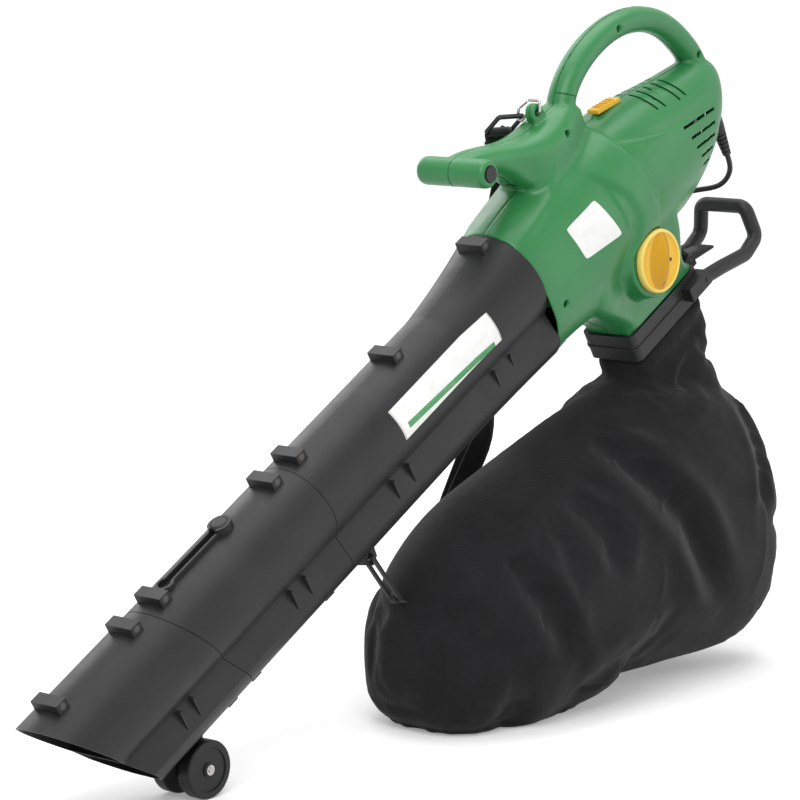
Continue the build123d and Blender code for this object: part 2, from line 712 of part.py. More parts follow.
def housing():
    """Both housing shells in one piece, before they are split."""
    skin = housing_skin()
    body = skin - housing_chamber() - grip_space() - outlet_spigot()[1]
    reach = duct_form(0) + knob_boss()
    near_guide = cross_pin(KNOB_PLACE, SELECTOR_SHAFT + 4, -BOSS_FACE, -42) & reach
    far_guide = cross_pin(KNOB_PLACE, SELECTOR_SHAFT + 4, 42, 80) & reach
    body += cross_pin(KNOB_PLACE, BOSS_RADIUS - 3, -BOSS_FACE, -BOSS_FACE + HOUSING_WALL)
    body -= cross_pin(KNOB_PLACE, KNOB_RADIUS + 1.5, -100, -BOSS_FACE)
    body += near_guide
    body += far_guide
    body += strap_bar()
    body += latch_keeper()
    for boss in housing_bosses():
        body += boss & skin
    for post in switch_posts():
        body += post
    for hole in housing_holes():
        body -= hole
    return body


def housing_screws():
    """Screws that close the housing."""
    shapes = []
    for place in HOUSING_SCREWS:
        shank = cross_pin(place, SCREW_RADIUS, -SCREW_SEAT + SCREW_HEAD_DEPTH - 0.5, SCREW_TIP)
        head = cross_pin(place, SCREW_HEAD_RADIUS, -SCREW_SEAT - SCREW_HEAD_DEPTH, -SCREW_SEAT)
        shapes.append(shank + head + cross_pin(place, SCREW_RADIUS, -SCREW_SEAT, SCREW_TIP))
    return shapes


# ================================================================ switch
def switch_plane():
    """Plane on top of the motor barrel, with local x pointing back along the slope."""
    slope = math.radians(SWITCH_SLOPE)
    return Plane(origin=(SWITCH_PLACE[0], 0, SWITCH_PLACE[1]), x_dir=(math.cos(slope), 0, math.sin(slope)),
                 z_dir=(-math.sin(slope), 0, math.cos(slope)))


def switch_block(x_range, half, z_range):
    """Block in the switch's own plane."""
    size = (x_range[1] - x_range[0], 2 * half, z_range[1] - z_range[0])
    centre = (sum(x_range) / 2, 0, sum(z_range) / 2)
    return switch_plane() * Pos(*centre) * Box(*size)


def switch_slot():
    """Slot in the barrel, and the shallow track in which the thumb slide runs."""
    slot = switch_block((-8 - SWITCH_TRAVEL, 9), 3.5, (-14, 12))
    half = SWITCH_LENGTH / 2
    track = switch_block((-half - SWITCH_TRAVEL - TOUCH, half + TOUCH), SWITCH_WIDTH / 2 + TOUCH, (-1.4, 12))
    return slot + track


def switch_posts():
    """Posts that carry the switch module below the slot."""
    posts = []
    for x in (-21, 21):
        posts.append(switch_plane() * Pos(x, 0, -8.5) * Cylinder(3.5, 13))
    return posts


def slide_switch():
    """Thumb slide with grip ridges and a tongue through the slot."""
    half = SWITCH_LENGTH / 2
    pad = switch_block((-half, half), SWITCH_WIDTH / 2, (-1.1, SWITCH_RISE - 2))
    pad = fillet(pad.edges().filter_by(Axis.Y).group_by(Axis.Z)[-1], 2)
    for k in range(5):
        x = -12 + k * 6
        pad += switch_block((x - 1, x + 1), SWITCH_WIDTH / 2 - 2, (SWITCH_RISE - 3, SWITCH_RISE - 0.6))
    return pad + switch_block((-7, 8), 3, (-13.5, 0))


def switch_module():
    """Switch body below the slide."""
    return switch_block((-24, 24), 8, (-28, -15)) - switch_block((-18, 12), 4, (-17, -14))


# ================================================================ selector
def selector_knob():
    """Round dial with a lens-shaped grip ridge."""
    inner = BOSS_FACE + SIDE_CLEARANCE
    disc = cross_pin(KNOB_PLACE, KNOB_RADIUS, -inner - 7.5, -inner)
    disc = fillet(disc.edges().group_by(Axis.Y)[0], 2.5)
    dish = cross_pin(KNOB_PLACE, KNOB_RADIUS - 4, -inner - 9, -inner - 5)
    bow = KNOB_RADIUS + 8
    offset_u = bow - 14
    lens = Pos(-offset_u, 0) * Circle(bow) & Pos(offset_u, 0) * Circle(bow)
    ridge = extrude(side(-inner - 2) * Pos(*KNOB_PLACE) * lens, KNOB_DEPTH - 2, taper=8)
    keep = cross_pin(KNOB_PLACE, KNOB_RADIUS - 1.5, -KNOB_FACE - 5, -inner)
    dial = disc - dish + (ridge & keep)
    return dial - cross_pin(KNOB_PLACE, SELECTOR_SHAFT + 0.03, -inner - 8, 0)


def selector_shaft():
    """Cross shaft from the knob through the duct."""
    return cross_pin(KNOB_PLACE, SELECTOR_SHAFT, -BOSS_FACE - SIDE_CLEARANCE - 7.5, SHAFT_END - 1)


def diverter_flap():
    """Two-winged flap on the selector shaft, set for collecting."""
    hub = cross_pin(KNOB_PLACE, SELECTOR_SHAFT + 3, -FLAP_HALF, FLAP_HALF)
    wings = []
    for angle, length in ((155.0, FLAP_FRONT), (267.0, FLAP_REAR)):
        turn = math.radians(angle)
        mid = (KNOB_PLACE[0] + math.cos(turn) * length / 2, KNOB_PLACE[1] + math.sin(turn) * length / 2)
        plate = Box(length, 2 * FLAP_HALF, FLAP_THICKNESS)
        wings.append(Pos(mid[0], 0, mid[1]) * Rot(0, -angle, 0) * plate)
    return hub + wings[0] + wings[1] - cross_pin(KNOB_PLACE, SELECTOR_SHAFT + 0.03, -90, 90)


# ================================================================ motor and fan
def disc_ring(radius, bore, u_from, u_to):
    """Flat ring about the fan axis."""
    return axial(radius, u_from, u_to) - axial(bore, u_from - 1, u_to + 1)


def intake_outline(radius, axis, flat):
    """Smooth round outline, flattened below at the height flat."""
    points = []
    for angle in (90, 55, 20, -15, -48, -90):
        turn = math.radians(angle)
        reach = radius
        if angle < 0:
            reach = min(radius, (flat - axis) / math.sin(turn))
        points.append((reach * math.cos(turn), axis + reach * math.sin(turn)))
    points[-1] = (0, points[-1][1])
    points[0] = (0, axis + radius)
    return smooth_outline(points)


def intake_duct():
    """Suction duct inside the funnel, ending in the plate around the fan's eye."""
    wall = 2.0
    start, end = HOUSING_JOINT + TOUCH, FAN_FRONT - 4
    mouth = intake_outline(DUCT_RADIUS, DUCT_AXIS, DUCT_FLAT)
    hollow = intake_outline(DUCT_RADIUS - wall, DUCT_AXIS, DUCT_FLAT + wall)
    outer = loft([across(start) * mouth, across(end) * intake_outline(EYE_RADIUS + wall, FAN_AXIS, 0)])
    inner = loft([across(start) * hollow, across(end) * intake_outline(EYE_RADIUS, FAN_AXIS, 0)])
    reach = start - HOUSING_JOINT + SPIGOT_LENGTH
    outer += extrude(across(start) * mouth, -reach)
    inner += extrude(across(start) * hollow, -reach - 1)
    plate = axial(73, end - 0.5, end + 2.5) & box((0, 1000), (-90, 90), (97, 300))
    return outer + plate - inner - axial(EYE_RADIUS - 1.5, end - 3, end + 5)


def diaphragm():
    """Plate between the fan chamber and the motor, with the front bearing's cup."""
    start = FAN_BACK + 0.5
    plate = axial(82.0, start, start + DIAPHRAGM_THICKNESS) & motor_form(HOUSING_WALL + TOUCH)
    cup = axial(BEARING_RADIUS + 4, start, FRONT_BEARING + BEARING_WIDTH / 2)
    seat = axial(BEARING_RADIUS + 0.03, FRONT_BEARING - BEARING_WIDTH / 2, 1000)
    return plate + cup - seat - axial(SHAFT_RADIUS + 1.5, 0, 1000) - motor_bolt_holes()


MOTOR_BOLT_REACH = 47.0
MOTOR_BOLT_RADIUS = 2.5


def motor_bolts():
    """Two long bolts that hold stator and rear bracket to the diaphragm."""
    start = FAN_BACK + 0.5
    bolts = []
    for sign in (-1, 1):
        offset = sign * MOTOR_BOLT_REACH
        shank = axial(MOTOR_BOLT_RADIUS, start, REAR_BEARING + 6, offset)
        nut = axial(MOTOR_BOLT_RADIUS + 2.5, REAR_BEARING + 4, REAR_BEARING + 8, offset)
        bolts.append(shank + nut)
    return bolts


def motor_bolt_holes():
    """Clearance holes of the motor bolts."""
    near = axial(MOTOR_BOLT_RADIUS + 0.05, 0, 1200, -MOTOR_BOLT_REACH)
    return near + axial(MOTOR_BOLT_RADIUS + 0.05, 0, 1200, MOTOR_BOLT_REACH)


def motor_stator():
    """Laminated stator with ears for the motor bolts."""
    end = STATOR_START + STATOR_LENGTH
    ears = axial(7, STATOR_START, end, MOTOR_BOLT_REACH)
    ears += axial(7, STATOR_START, end, -MOTOR_BOLT_REACH)
    return disc_ring(STATOR_RADIUS, STATOR_BORE, STATOR_START, end) + (
        ears - axial(STATOR_BORE, 0, 1200)) - motor_bolt_holes()


def rear_bracket():
    """Cup that carries the rear bearing and the brushes, with arms to the housing."""
    start, end = STATOR_START + STATOR_LENGTH, REAR_BEARING + BEARING_WIDTH / 2 + 0.5
    shell = disc_ring(STATOR_RADIUS - 4, STATOR_RADIUS - 7, start, end)
    plate = disc_ring(STATOR_RADIUS - 4, BEARING_RADIUS + 0.03, end - BEARING_WIDTH, end)
    ears = disc_ring(MOTOR_BOLT_REACH + 5, STATOR_RADIUS - 7, end - 4, end)
    arms = box((end - 4, end), (-80, 80), (FAN_AXIS - 8, FAN_AXIS + 8)) - axial(STATOR_RADIUS - 7, 0, 1200)
    ears = ears & box((0, 1200), (-80, 80), (FAN_AXIS - 16, FAN_AXIS + 16))
    arms = (arms + ears) & motor_form(HOUSING_WALL + TOUCH)
    body = shell + plate + arms - motor_bolt_holes()
    return body - brush_windows()


def brush_windows():
    """Square windows for the two brush holders."""
    half = BRUSH_HALF + 0.05
    return box((BRUSH_PLACE - half, BRUSH_PLACE + half), (-60, 60), (FAN_AXIS - half, FAN_AXIS + half))


BRUSH_PLACE = 1002.0
BRUSH_HALF = 6.0


def brush_holders():
    """Two brass sleeves that point at the commutator."""
    holders = []
    for sign in (-1, 1):
        ends = sorted((sign * (COMMUTATOR_RADIUS + 2.5), sign * (STATOR_RADIUS - 1)))
        lengths = (BRUSH_PLACE - BRUSH_HALF, BRUSH_PLACE + BRUSH_HALF)
        sleeve = box(lengths, ends, (FAN_AXIS - BRUSH_HALF, FAN_AXIS + BRUSH_HALF))
        core = BRUSH_HALF - 2
        bore = box((BRUSH_PLACE - core, BRUSH_PLACE + core), (-60, 60), (FAN_AXIS - core, FAN_AXIS + core))
        holders.append(sleeve - bore)
    return holders


def carbon_brushes():
    """Two carbon blocks in their holders."""
    blocks = []
    core = BRUSH_HALF - 2.05
    for sign in (-1, 1):
        ends = sorted((sign * (COMMUTATOR_RADIUS + TOUCH), sign * (STATOR_RADIUS - 14)))
        blocks.append(box((BRUSH_PLACE - core, BRUSH_PLACE + core), ends, (FAN_AXIS - core, FAN_AXIS + core)))
    return blocks


def bearing(centre):
    """Bearing ring around the shaft."""
    half = BEARING_WIDTH / 2
    return disc_ring(BEARING_RADIUS, SHAFT_RADIUS + RUN_CLEARANCE, centre - half, centre + half)


def motor_shaft():
    """Shaft from the fan's nut to behind the rear bearing."""
    return axial(SHAFT_RADIUS, FAN_FRONT + 3, REAR_BEARING + 8)


def rotor_core():
    """Slotted armature core."""
    core = disc_ring(ROTOR_RADIUS, SHAFT_RADIUS + 0.03, STATOR_START, STATOR_START + STATOR_LENGTH)
    for k in range(12):
        turn = math.radians(30 * k)
        place = (ROTOR_RADIUS * math.cos(turn), FAN_AXIS + ROTOR_RADIUS * math.sin(turn))
        slot = across(STATOR_START - 1) * Pos(*place) * Rot(0, 0, 30 * k) * Rectangle(10, 2.4)
        core -= extrude(slot, STATOR_LENGTH + 2)
    return core


def commutator():
    """Copper commutator behind the armature."""
    half = COMMUTATOR_LENGTH / 2
    return disc_ring(COMMUTATOR_RADIUS, SHAFT_RADIUS + 0.03, BRUSH_PLACE - half, BRUSH_PLACE + half)


def radial_blades(count, inner, outer, u_from, u_to, thickness, sweep_angle):
    """Straight blades set at an angle around the fan axis."""
    blades = []
    for k in range(count):
        turn = 360 * k / count
        outline = Pos((inner + outer) / 2, 0) * Rot(0, 0, sweep_angle) * Rectangle(outer - inner, thickness)
        blade = across(u_from) * Pos(0, FAN_AXIS) * Rot(0, 0, turn) * outline
        blades.append(extrude(blade, u_to - u_from))
    return blades


def impeller():
    """Fan wheel with its back plate, hub and swept blades."""
    back = FAN_BACK - 4
    wheel = axial(FAN_RADIUS, back - 3, back) + axial(14, back - BLADE_DEPTH, back)
    for blade in radial_blades(BLADE_COUNT, 16, FAN_RADIUS - 2, back - BLADE_DEPTH, back - 1, BLADE_THICKNESS, 18):
        wheel += blade
    return wheel - axial(SHAFT_RADIUS + 0.03, 0, 1200)


def shredder_blade():
    """Steel bar that chops leaves in front of the fan wheel."""
    front = FAN_BACK - 4 - BLADE_DEPTH
    bar = box((front - 3.2, front - 0.2), (-42, 42), (FAN_AXIS - 8, FAN_AXIS + 8))
    return bar - axial(SHAFT_RADIUS + 0.03, 0, 1200)


def impeller_nut():
    """Hexagon nut that holds blade and fan wheel on the shaft."""
    front = FAN_BACK - 4 - BLADE_DEPTH - 3.4
    nut = extrude(across(front - 6) * Pos(0, FAN_AXIS) * RegularPolygon(8, 6), 6)
    return nut - axial(SHAFT_RADIUS + 0.03, 0, 1200)


def cooling_fan():
    """Small fan that draws air through the motor."""
    start = FRONT_BEARING + BEARING_WIDTH / 2 + 1
    fan = axial(COOLING_FAN_RADIUS, start, start + 2) + axial(9, start, start + 10)
    for blade in radial_blades(10, 8, COOLING_FAN_RADIUS, start + 1, start + 10, 1.6, 0):
        fan += blade
    return fan - axial(SHAFT_RADIUS + 0.03, 0, 1200)


# ================================================================ tube fittings
def tube_screws():
    """All screws of the tube's lugs."""
    return [screw(place, face) for place, face in lug_screw_places()]


def wheel(sign):
    """Wheel with a hub and a shallow tread step."""
    inner, outer = sorted((sign * WHEEL_GAP / 2, sign * (WHEEL_GAP / 2 + WHEEL_WIDTH)))
    hub = wheel_centre()
    disc = cross_pin(hub, WHEEL_RADIUS, inner, outer)
    disc = fillet(disc.edges().filter_by(GeomType.CIRCLE), 2.5)
    face_inner, face_outer = sorted((sign * (WHEEL_GAP / 2 + WHEEL_WIDTH - 1.5), sign * 60))
    dish = cross_pin(hub, WHEEL_RADIUS - 8, face_inner, face_outer) - cross_pin(hub, 8, -60, 60)
    return disc - dish - cross_pin(hub, AXLE_RADIUS + RUN_CLEARANCE, -60, 60)


def wheel_axle():
    """Steel axle through the bracket and both wheels."""
    reach = WHEEL_GAP / 2 + WHEEL_WIDTH + SIDE_CLEARANCE + AXLE_OVERHANG
    return cross_pin(wheel_centre(), AXLE_RADIUS, -reach, reach)


def axle_clips():
    """Push-on washers that keep the wheels on the axle."""
    clips = []
    start = WHEEL_GAP / 2 + WHEEL_WIDTH + SIDE_CLEARANCE / 2
    for sign in (-1, 1):
        ends = sorted((sign * start, sign * (start + 1)))
        clips.append(cross_pin(wheel_centre(), 5.5, *ends) - cross_pin(wheel_centre(), AXLE_RADIUS, -60, 60))
    return clips


def catch_button():
    """Domed push button of the tube catch."""
    place = CATCH_START + CATCH_LENGTH
    height = CATCH_BUTTON_RISE + CATCH_TRAVEL + 1
    body = extrude(level(crest(0) - CATCH_TRAVEL - 1) * Pos(place, 0) * Circle(CATCH_BUTTON_RADIUS), height)
    return fillet(body.edges().group_by(Axis.Z)[-1], 3)


def catch_spring():
    """Coil spring below the catch button."""
    place = CATCH_START + CATCH_LENGTH
    wire = 0.6
    base = crest(0) - CATCH_CUP + wire
    height = CATCH_CUP - 2 * CATCH_TRAVEL - 1 - TOUCH - 2 * wire
    coil = Pos(place, 0, base) * Helix(pitch=height / 3, height=height, radius=6)
    start = Plane(origin=coil @ 0, z_dir=coil % 0)
    return sweep(start * Circle(wire), coil, is_frenet=True)


def tube_label():
    """Long printed band on the upper tube's left side."""
    start = LABEL_ENDS[0] - 1
    end = HOUSING_JOINT - JOINT_GAP / 2 + 1
    band = tube_body(-LABEL_THICKNESS, start, end) - tube_body(0, start, end)
    return band & box(LABEL_ENDS, (-90, -20), LABEL_HEIGHTS)


LABEL_THICKNESS = 0.4
LABEL_ENDS = (421.0, 606.0)
LABEL_HEIGHTS = (154.0, 191.0)
PLATE_CORNERS = ((755.0, 207.0), (812.0, 210.0), (817.0, 154.0), (758.0, 156.0))


def rating_plate():
    """Square rating label on the housing's left flank."""
    outline = make_face(Polyline(*PLATE_CORNERS, close=True))
    prism = extrude(side(-20) * outline, 100)
    return (funnel_form(-LABEL_THICKNESS) & prism) - funnel_form(0)


def grip_end_caps():
    """Oval inset caps in both ends of the front grip."""
    caps = []
    for sign in (-1, 1):
        ends = sorted((sign * (BAR_HALF - CAP_THICKNESS), sign * (BAR_HALF + 0.6)))
        caps.append(cross_pin(BAR_PLACE, CAP_RADIUS, *ends))
    return caps


# ================================================================ bag frame
def frame_section(half_grow, w_range):
    """Rectangular block of the bag frame's plan, enlarged or reduced all round."""
    lengths = (FRAME_FRONT - half_grow, FRAME_BACK + half_grow)
    half = FRAME_HALF + half_grow
    plan = Pos(sum(lengths) / 2, 0) * RectangleRounded(lengths[1] - lengths[0], 2 * half, 9 + half_grow)
    return extrude(level(w_range[0]) * plan, w_range[1] - w_range[0])


def bag_frame():
    """Frame that carries the bag, with a bail handle and the latch's lugs."""
    bottom = FRAME_TOP - FRAME_DEPTH
    body = frame_section(0, (bottom, FRAME_TOP))
    body += frame_section(1.2, (bottom + 10, bottom + 13))
    for sign in (-1, 1):
        ends = sorted((sign * (FRAME_HALF - 6), sign * (BAIL_HALF + BAIL_RADIUS - 2)))
        body += box((FRAME_BACK - 40, FRAME_BACK + 2), ends, (-26, -8))
        lug_ends = sorted((sign * (LATCH_HALF + SIDE_CLEARANCE), sign * (LATCH_HALF + 5)))
        body += box((FRAME_BACK - 4, LATCH_PLACE[0] + 7), lug_ends, (-18, -2))
    body += bail()
    body -= box((FRAME_FRONT + FRAME_WALL, FRAME_BACK - FRAME_WALL),
                (-FRAME_HALF + FRAME_WALL, FRAME_HALF - FRAME_WALL), (-60, 10))
    return body - cross_pin(LATCH_PLACE, LATCH_PIN_RADIUS, -40, 40)


def bail():
    """Bent handle behind the bag frame."""
    h = BAIL_HALF
    points = [(FRAME_BACK - 6, -h, -17), (1001, -h, -28), (1049, -h, -43), (1080, -h + 1, -38),
              (1089, -h + 10, 0), (1089, h - 10, 0), (1080, h - 1, -38), (1049, h, -43),
              (1001, h, -28), (FRAME_BACK - 6, h, -17)]
    path = FilletPolyline(*points, radius=(30, 20, 14, 12, 12, 14, 20, 30))
    start = Plane(origin=path @ 0, z_dir=path % 0)
    return sweep(start * Circle(BAIL_RADIUS - 1), path)


def latch_keeper():
    """Lip on the housing that the bag latch hooks over."""
    return box((OUTLET_BACK - 8, LATCH_PLACE[0] - 8), (-9, 9), (1, 7.5))


def bag_latch():
    """Latch lever with its nose over the housing's lip."""
    u, w = LATCH_PLACE
    outline = [(u - 5, w - 5), (u - 5, w + 16), (u - 13, w + 16), (u - 13, w + 20), (u - 2, w + 20),
               (u + 5, w + 6), (u + 53, w - 15), (u + 53, w - 19), (u + 3, w - 7)]
    lever = slab(outline, LATCH_HALF)
    return lever - cross_pin(LATCH_PLACE, LATCH_PIN_RADIUS + RUN_CLEARANCE, -40, 40)


def latch_pin():
    """Hinge pin of the bag latch."""
    return cross_pin(LATCH_PLACE, LATCH_PIN_RADIUS, -LATCH_HALF - 5, LATCH_HALF + 5)


def bag_neck_band():
    """Stiff hem that joins the bag to its frame."""
    bottom = FRAME_TOP - FRAME_DEPTH
    ring = frame_section(0, (bottom - 6, bottom))
    return ring - frame_section(-2.5, (bottom - 7, bottom + 1))


# ================================================================ bag, in standing axes
BAG_STATIONS = (
    (332.0, 78.0, 152.0, 34.0),
    (346.0, 48.0, 180.0, 66.0),
    (380.0, 12.0, 214.0, 96.0),
    (460.0, -3.0, 258.0, 118.0),
    (560.0, -5.0, 300.0, 125.0),
    (660.0, -5.0, 344.0, 125.0),
    (760.0, -4.0, 382.0, 125.0),
    (850.0, 6.0, 368.0, 118.0),
    (915.0, 50.0, 318.0, 98.0),
    (948.0, 118.0, 258.0, 58.0),
)
BAG_NECK = ((-37.0, 891.0, 150.0, 76.0), (-72.0, 884.0, 152.0, 100.0), (-122.0, 856.0, 150.0, 132.0))


def bag_section(station, inset):
    """Rounded cross-section of the bag at one station."""
    x, low, high, half = station
    low, high, half = low + inset, high - inset, half - inset
    height = high - low
    points = [(0, high), (half * 0.60, high - height * 0.10), (half * 0.93, high - height * 0.34),
              (half, low + height * 0.42), (half * 0.93, low + height * 0.14),
              (half * 0.60, low + height * 0.015), (0, low)]
    plane = Plane(origin=(x, 0, 0), x_dir=(0, 1, 0), z_dir=(1, 0, 0))
    return plane * smooth_outline(points)


def bag_body(inset):
    """Closed body of the bag, flat where it lies on the ground."""
    stations = [list(station) for station in BAG_STATIONS]
    stations[0][0] += inset
    stations[-1][0] -= inset
    body = loft([bag_section(station, inset) for station in stations])
    ground = Pos(640, 0, 500 + inset) * Box(2000, 600, 1000)
    return body & ground


def bag_neck(inset):
    """Neck of the bag, from the hem into the body."""
    sections = []
    for w, u, length, width in BAG_NECK:
        radius = 8 + (width - 76) * 0.5 - inset
        plan = Pos(u, 0) * RectangleRounded(length - 2 * inset, width - 2 * inset, radius)
        sections.append(level(w) * plan)
    neck = loft(sections)
    if inset > 0:
        top = BAG_NECK[0]
        plan = RectangleRounded(top[2] - 2 * inset, top[3] - 2 * inset, 8 - inset)
        neck += extrude(level(top[0] - 1) * Pos(top[1], 0) * plan, 6)
    return leaned(neck)


def bag():
    """Collecting bag with its open neck and the tab of its front hook."""
    shell = bag_body(0) + bag_neck(0) - bag_body(BAG_WALL) - bag_neck(BAG_WALL)
    return shell + bag_tab()


HOOK_BAR = 2.0
HOOK_HALF = 9.5
TAB_CENTRE = (322.0, 160.0)


def hook_ends():
    """Standing-axes X, Z of the hook's two bars: in the tube's ear and in the bag's tab."""
    u, w = bag_ear_hole()
    turn = math.radians(LEAN)
    ear = (u * math.cos(turn) - w * math.sin(turn), u * math.sin(turn) + w * math.cos(turn))
    return ear, TAB_CENTRE


def bag_tab():
    """Webbing tab on the bag's front, folded round the hook's bar."""
    x, z = TAB_CENTRE
    reach = HOOK_HALF - 2 * HOOK_BAR - TOUCH
    hole = HOOK_BAR * math.sqrt(2) + TOUCH
    tab = Pos(x, 0, z) * Rot(90, 0, 0) * Cylinder(hole + 2.2, 2 * reach)
    link = Pos(x + 14, 0, z - 4) * Rot(0, 12, 0) * Box(30, 2 * reach, 4)
    link = link - bag_body(BAG_WALL)
    return tab + link - Pos(x, 0, z) * Rot(90, 0, 0) * Cylinder(hole, 60)


def bag_hook():
    """Flat ring that links the tube's ear to the bag."""
    ear, tab = hook_ends()
    span = (tab[0] - ear[0], tab[1] - ear[1])
    length = math.hypot(*span)
    angle = math.degrees(math.atan2(span[1], span[0]))
    ring = Box(length + 2 * HOOK_BAR, 2 * HOOK_HALF, 2 * HOOK_BAR)
    ring = fillet(ring.edges().filter_by(Axis.Z), 3)
    ring -= Box(length - 2 * HOOK_BAR, 2 * HOOK_HALF - 4 * HOOK_BAR, 10)
    middle = ((ear[0] + tab[0]) / 2, 0, (ear[1] + tab[1]) / 2)
    return Pos(*middle) * Rot(0, -angle, 0) * ring


# ================================================================ strap, in standing axes
RING_CENTRE_X = 545.0
RING_TOP = (19.5, 686.0)
RING_BOTTOM = (38.5, 668.0)
STRAP_ROUTE = (
    (545.0, 42.7, 668.0),
    (547.0, 43.5, 661.0),
    (566.0, 51.0, 645.0),
    (586.0, 65.0, 620.0),
    (597.0, 84.0, 562.0),
    (602.0, 94.0, 480.0),
    (608.0, 110.0, 390.0),
    (624.0, 124.0, 335.0),
    (634.0, 136.0, 290.0),
    (618.0, 146.0, 246.0),
    (590.0, 150.0, 198.0),
    (570.0, 151.0, 150.0),
    (563.0, 152.0, 130.0),
    (562.0, 157.0, 121.0),
    (564.0, 162.0, 130.0),
    (574.0, 163.0, 150.0),
    (600.0, 161.0, 205.0),
    (628.0, 157.0, 260.0),
    (650.0, 151.0, 312.0),
    (674.0, 139.0, 380.0),
    (704.0, 113.0, 475.0),
    (728.0, 87.5, 558.0),
    (735.4, 83.9, 581.9),
)


def strap_section(before, place, after):
    """Webbing cross-section at one place of the strap's route."""
    tangent = Vector(*after) - Vector(*before)
    flat = Vector(tangent.Z, 0, -tangent.X)
    if flat.length < 0.3 * tangent.length:
        flat = Vector(1, 0, 0)
    if flat.X < 0:
        flat = flat * -1
    plane = Plane(origin=place, x_dir=flat, z_dir=tangent)
    return plane * Rectangle(STRAP_WIDTH, STRAP_THICKNESS)


def shoulder_strap():
    """Webbing strap from the front ring, down the far side and back up to its bar."""
    route = STRAP_ROUTE
    sections = []
    for k, place in enumerate(route):
        before = route[max(k - 1, 0)]
        after = route[min(k + 1, len(route) - 1)]
        sections.append(strap_section(before, place, after))
    strip = loft(sections, ruled=True)
    front = Plane(origin=(RING_CENTRE_X, *RING_BOTTOM), z_dir=(1, 0, 0))
    u, w = STRAP_ANCHOR
    lean, slope = math.radians(LEAN), math.radians(STRAP_BAR_ANGLE + LEAN)
    rear_place = (u * math.cos(lean) - w * math.sin(lean), STRAP_BAR_REACH,
                  u * math.sin(lean) + w * math.cos(lean))
    rear = Plane(origin=rear_place, z_dir=(math.cos(slope), 0, math.sin(slope)))
    wire = RING_WIRE * math.sqrt(2)
    return strip + strap_fold(front, wire) + strap_fold(rear, STRAP_BAR_RADIUS)


def strap_fold(plane, radius):
    """Webbing folded round a bar of the given radius."""
    inner = Circle(radius + TOUCH)
    outer = Circle(radius + TOUCH + STRAP_THICKNESS)
    return extrude(plane * (outer - inner), STRAP_WIDTH / 2, both=True)


def strap_ring():
    """Rectangular slide ring at the strap's front end."""
    span = (RING_BOTTOM[0] - RING_TOP[0], RING_BOTTOM[1] - RING_TOP[1])
    height = math.hypot(*span)
    middle = (RING_CENTRE_X, (RING_TOP[0] + RING_BOTTOM[0]) / 2, (RING_TOP[1] + RING_BOTTOM[1]) / 2)
    plane = Plane(origin=middle, x_dir=(1, 0, 0), z_dir=(0, -span[1], span[0]))
    half = RING_HALF + RING_WIRE
    outer = RectangleRounded(2 * half, height + 2 * RING_WIRE, 4)
    inner = RectangleRounded(2 * half - 4 * RING_WIRE, height - 2 * RING_WIRE, 2)
    return extrude(plane * (outer - inner), RING_WIRE, both=True)


def snap_loop():
    """Closed centre line of the snap hook's wire, in standing axes."""
    u, w = EYELET_PLACE
    turn = math.radians(LEAN)
    x = u * math.cos(turn) - w * math.sin(turn)
    z = u * math.sin(turn) + w * math.cos(turn)
    near = -EYELET_THICKNESS / 2 - HOOK_WIRE - TOUCH
    points = [(x, near, z), (x, -near + 1, z), (x, 19, z - 11), (x, 25.5, z - 8), (x, 23, z + 4),
              (x, -near, z + EYELET_RADIUS + 3), (x, near, z + EYELET_RADIUS + 3)]
    return points


def snap_hook():
    """Bent wire hook through the housing's eyelet, open where its gate closes it."""
    points = snap_loop()
    path = FilletPolyline(points[5], points[6], points[0], points[1], points[2], points[3], points[4],
                          radius=(3.5, 3.5, 4, 3.5, 3.5))
    start = Plane(origin=path @ 0, z_dir=path % 0)
    return sweep(start * Circle(HOOK_WIRE), path)


def snap_gate():
    """Sprung gate that closes the snap hook."""
    points = snap_loop()
    start, end = Vector(*points[5]), Vector(*points[4])
    along = (end - start).normalized()
    plane = Plane(origin=start + along * 2 * HOOK_WIRE, z_dir=along)
    return extrude(plane * Circle(HOOK_WIRE - TOUCH), (end - start).length - 3.2 * HOOK_WIRE)


# ================================================================ cord, in standing axes
GLAND_TOP = 128.0
GLAND_TIP = 70.0
GLAND_OFFSET = -24.0
GLAND_U = 1100.0
CORD_RUNS = (                  # direction in X, Y, Z and length of each straight run
    (0.515, 0.0, -0.857, 15.0),
    (0.38, 0.36, -0.85, 15.0),
    (0.19, 0.67, -0.72, 15.0),
    (-0.03, 0.88, -0.48, 15.0),
    (-0.25, 0.955, -0.16, 28.0),
    (-0.30, 0.92, -0.25, 40.0),
    (-0.20, 0.75, -0.62, 36.0),
    (-0.10, 0.42, -0.90, 40.0),
    (-0.03, 0.15, -0.99, 52.0),
    (0.02, 0.24, -0.97, 48.0),
)
PLUG_LENGTH = 34.0
PLUG_PIN_RADIUS = 2.4
PLUG_PIN_LENGTH = 19.0
PLUG_PIN_GAP = 19.0


def gland_solid(grow):
    """Tapered strain relief with rings, square to the tube."""
    sections = []
    for w, radius in ((GLAND_TOP, 9.0), (GLAND_TOP - 16, 8.6), (GLAND_TIP, 5.2)):
        sections.append(level(w) * Pos(GLAND_U, GLAND_OFFSET) * Circle(radius + grow))
    return loft(sections, ruled=True)


def strain_relief():
    """Cord sleeve with grooves and a core hole for the cord."""
    sleeve = gland_solid(0)
    for k in range(5):
        w = GLAND_TIP + 6 + k * 6
        groove = Pos(GLAND_U, GLAND_OFFSET, w) * (Cylinder(12, 1.6) - Cylinder(4.6 + k * 0.35, 1.6))
        sleeve -= groove
    return sleeve


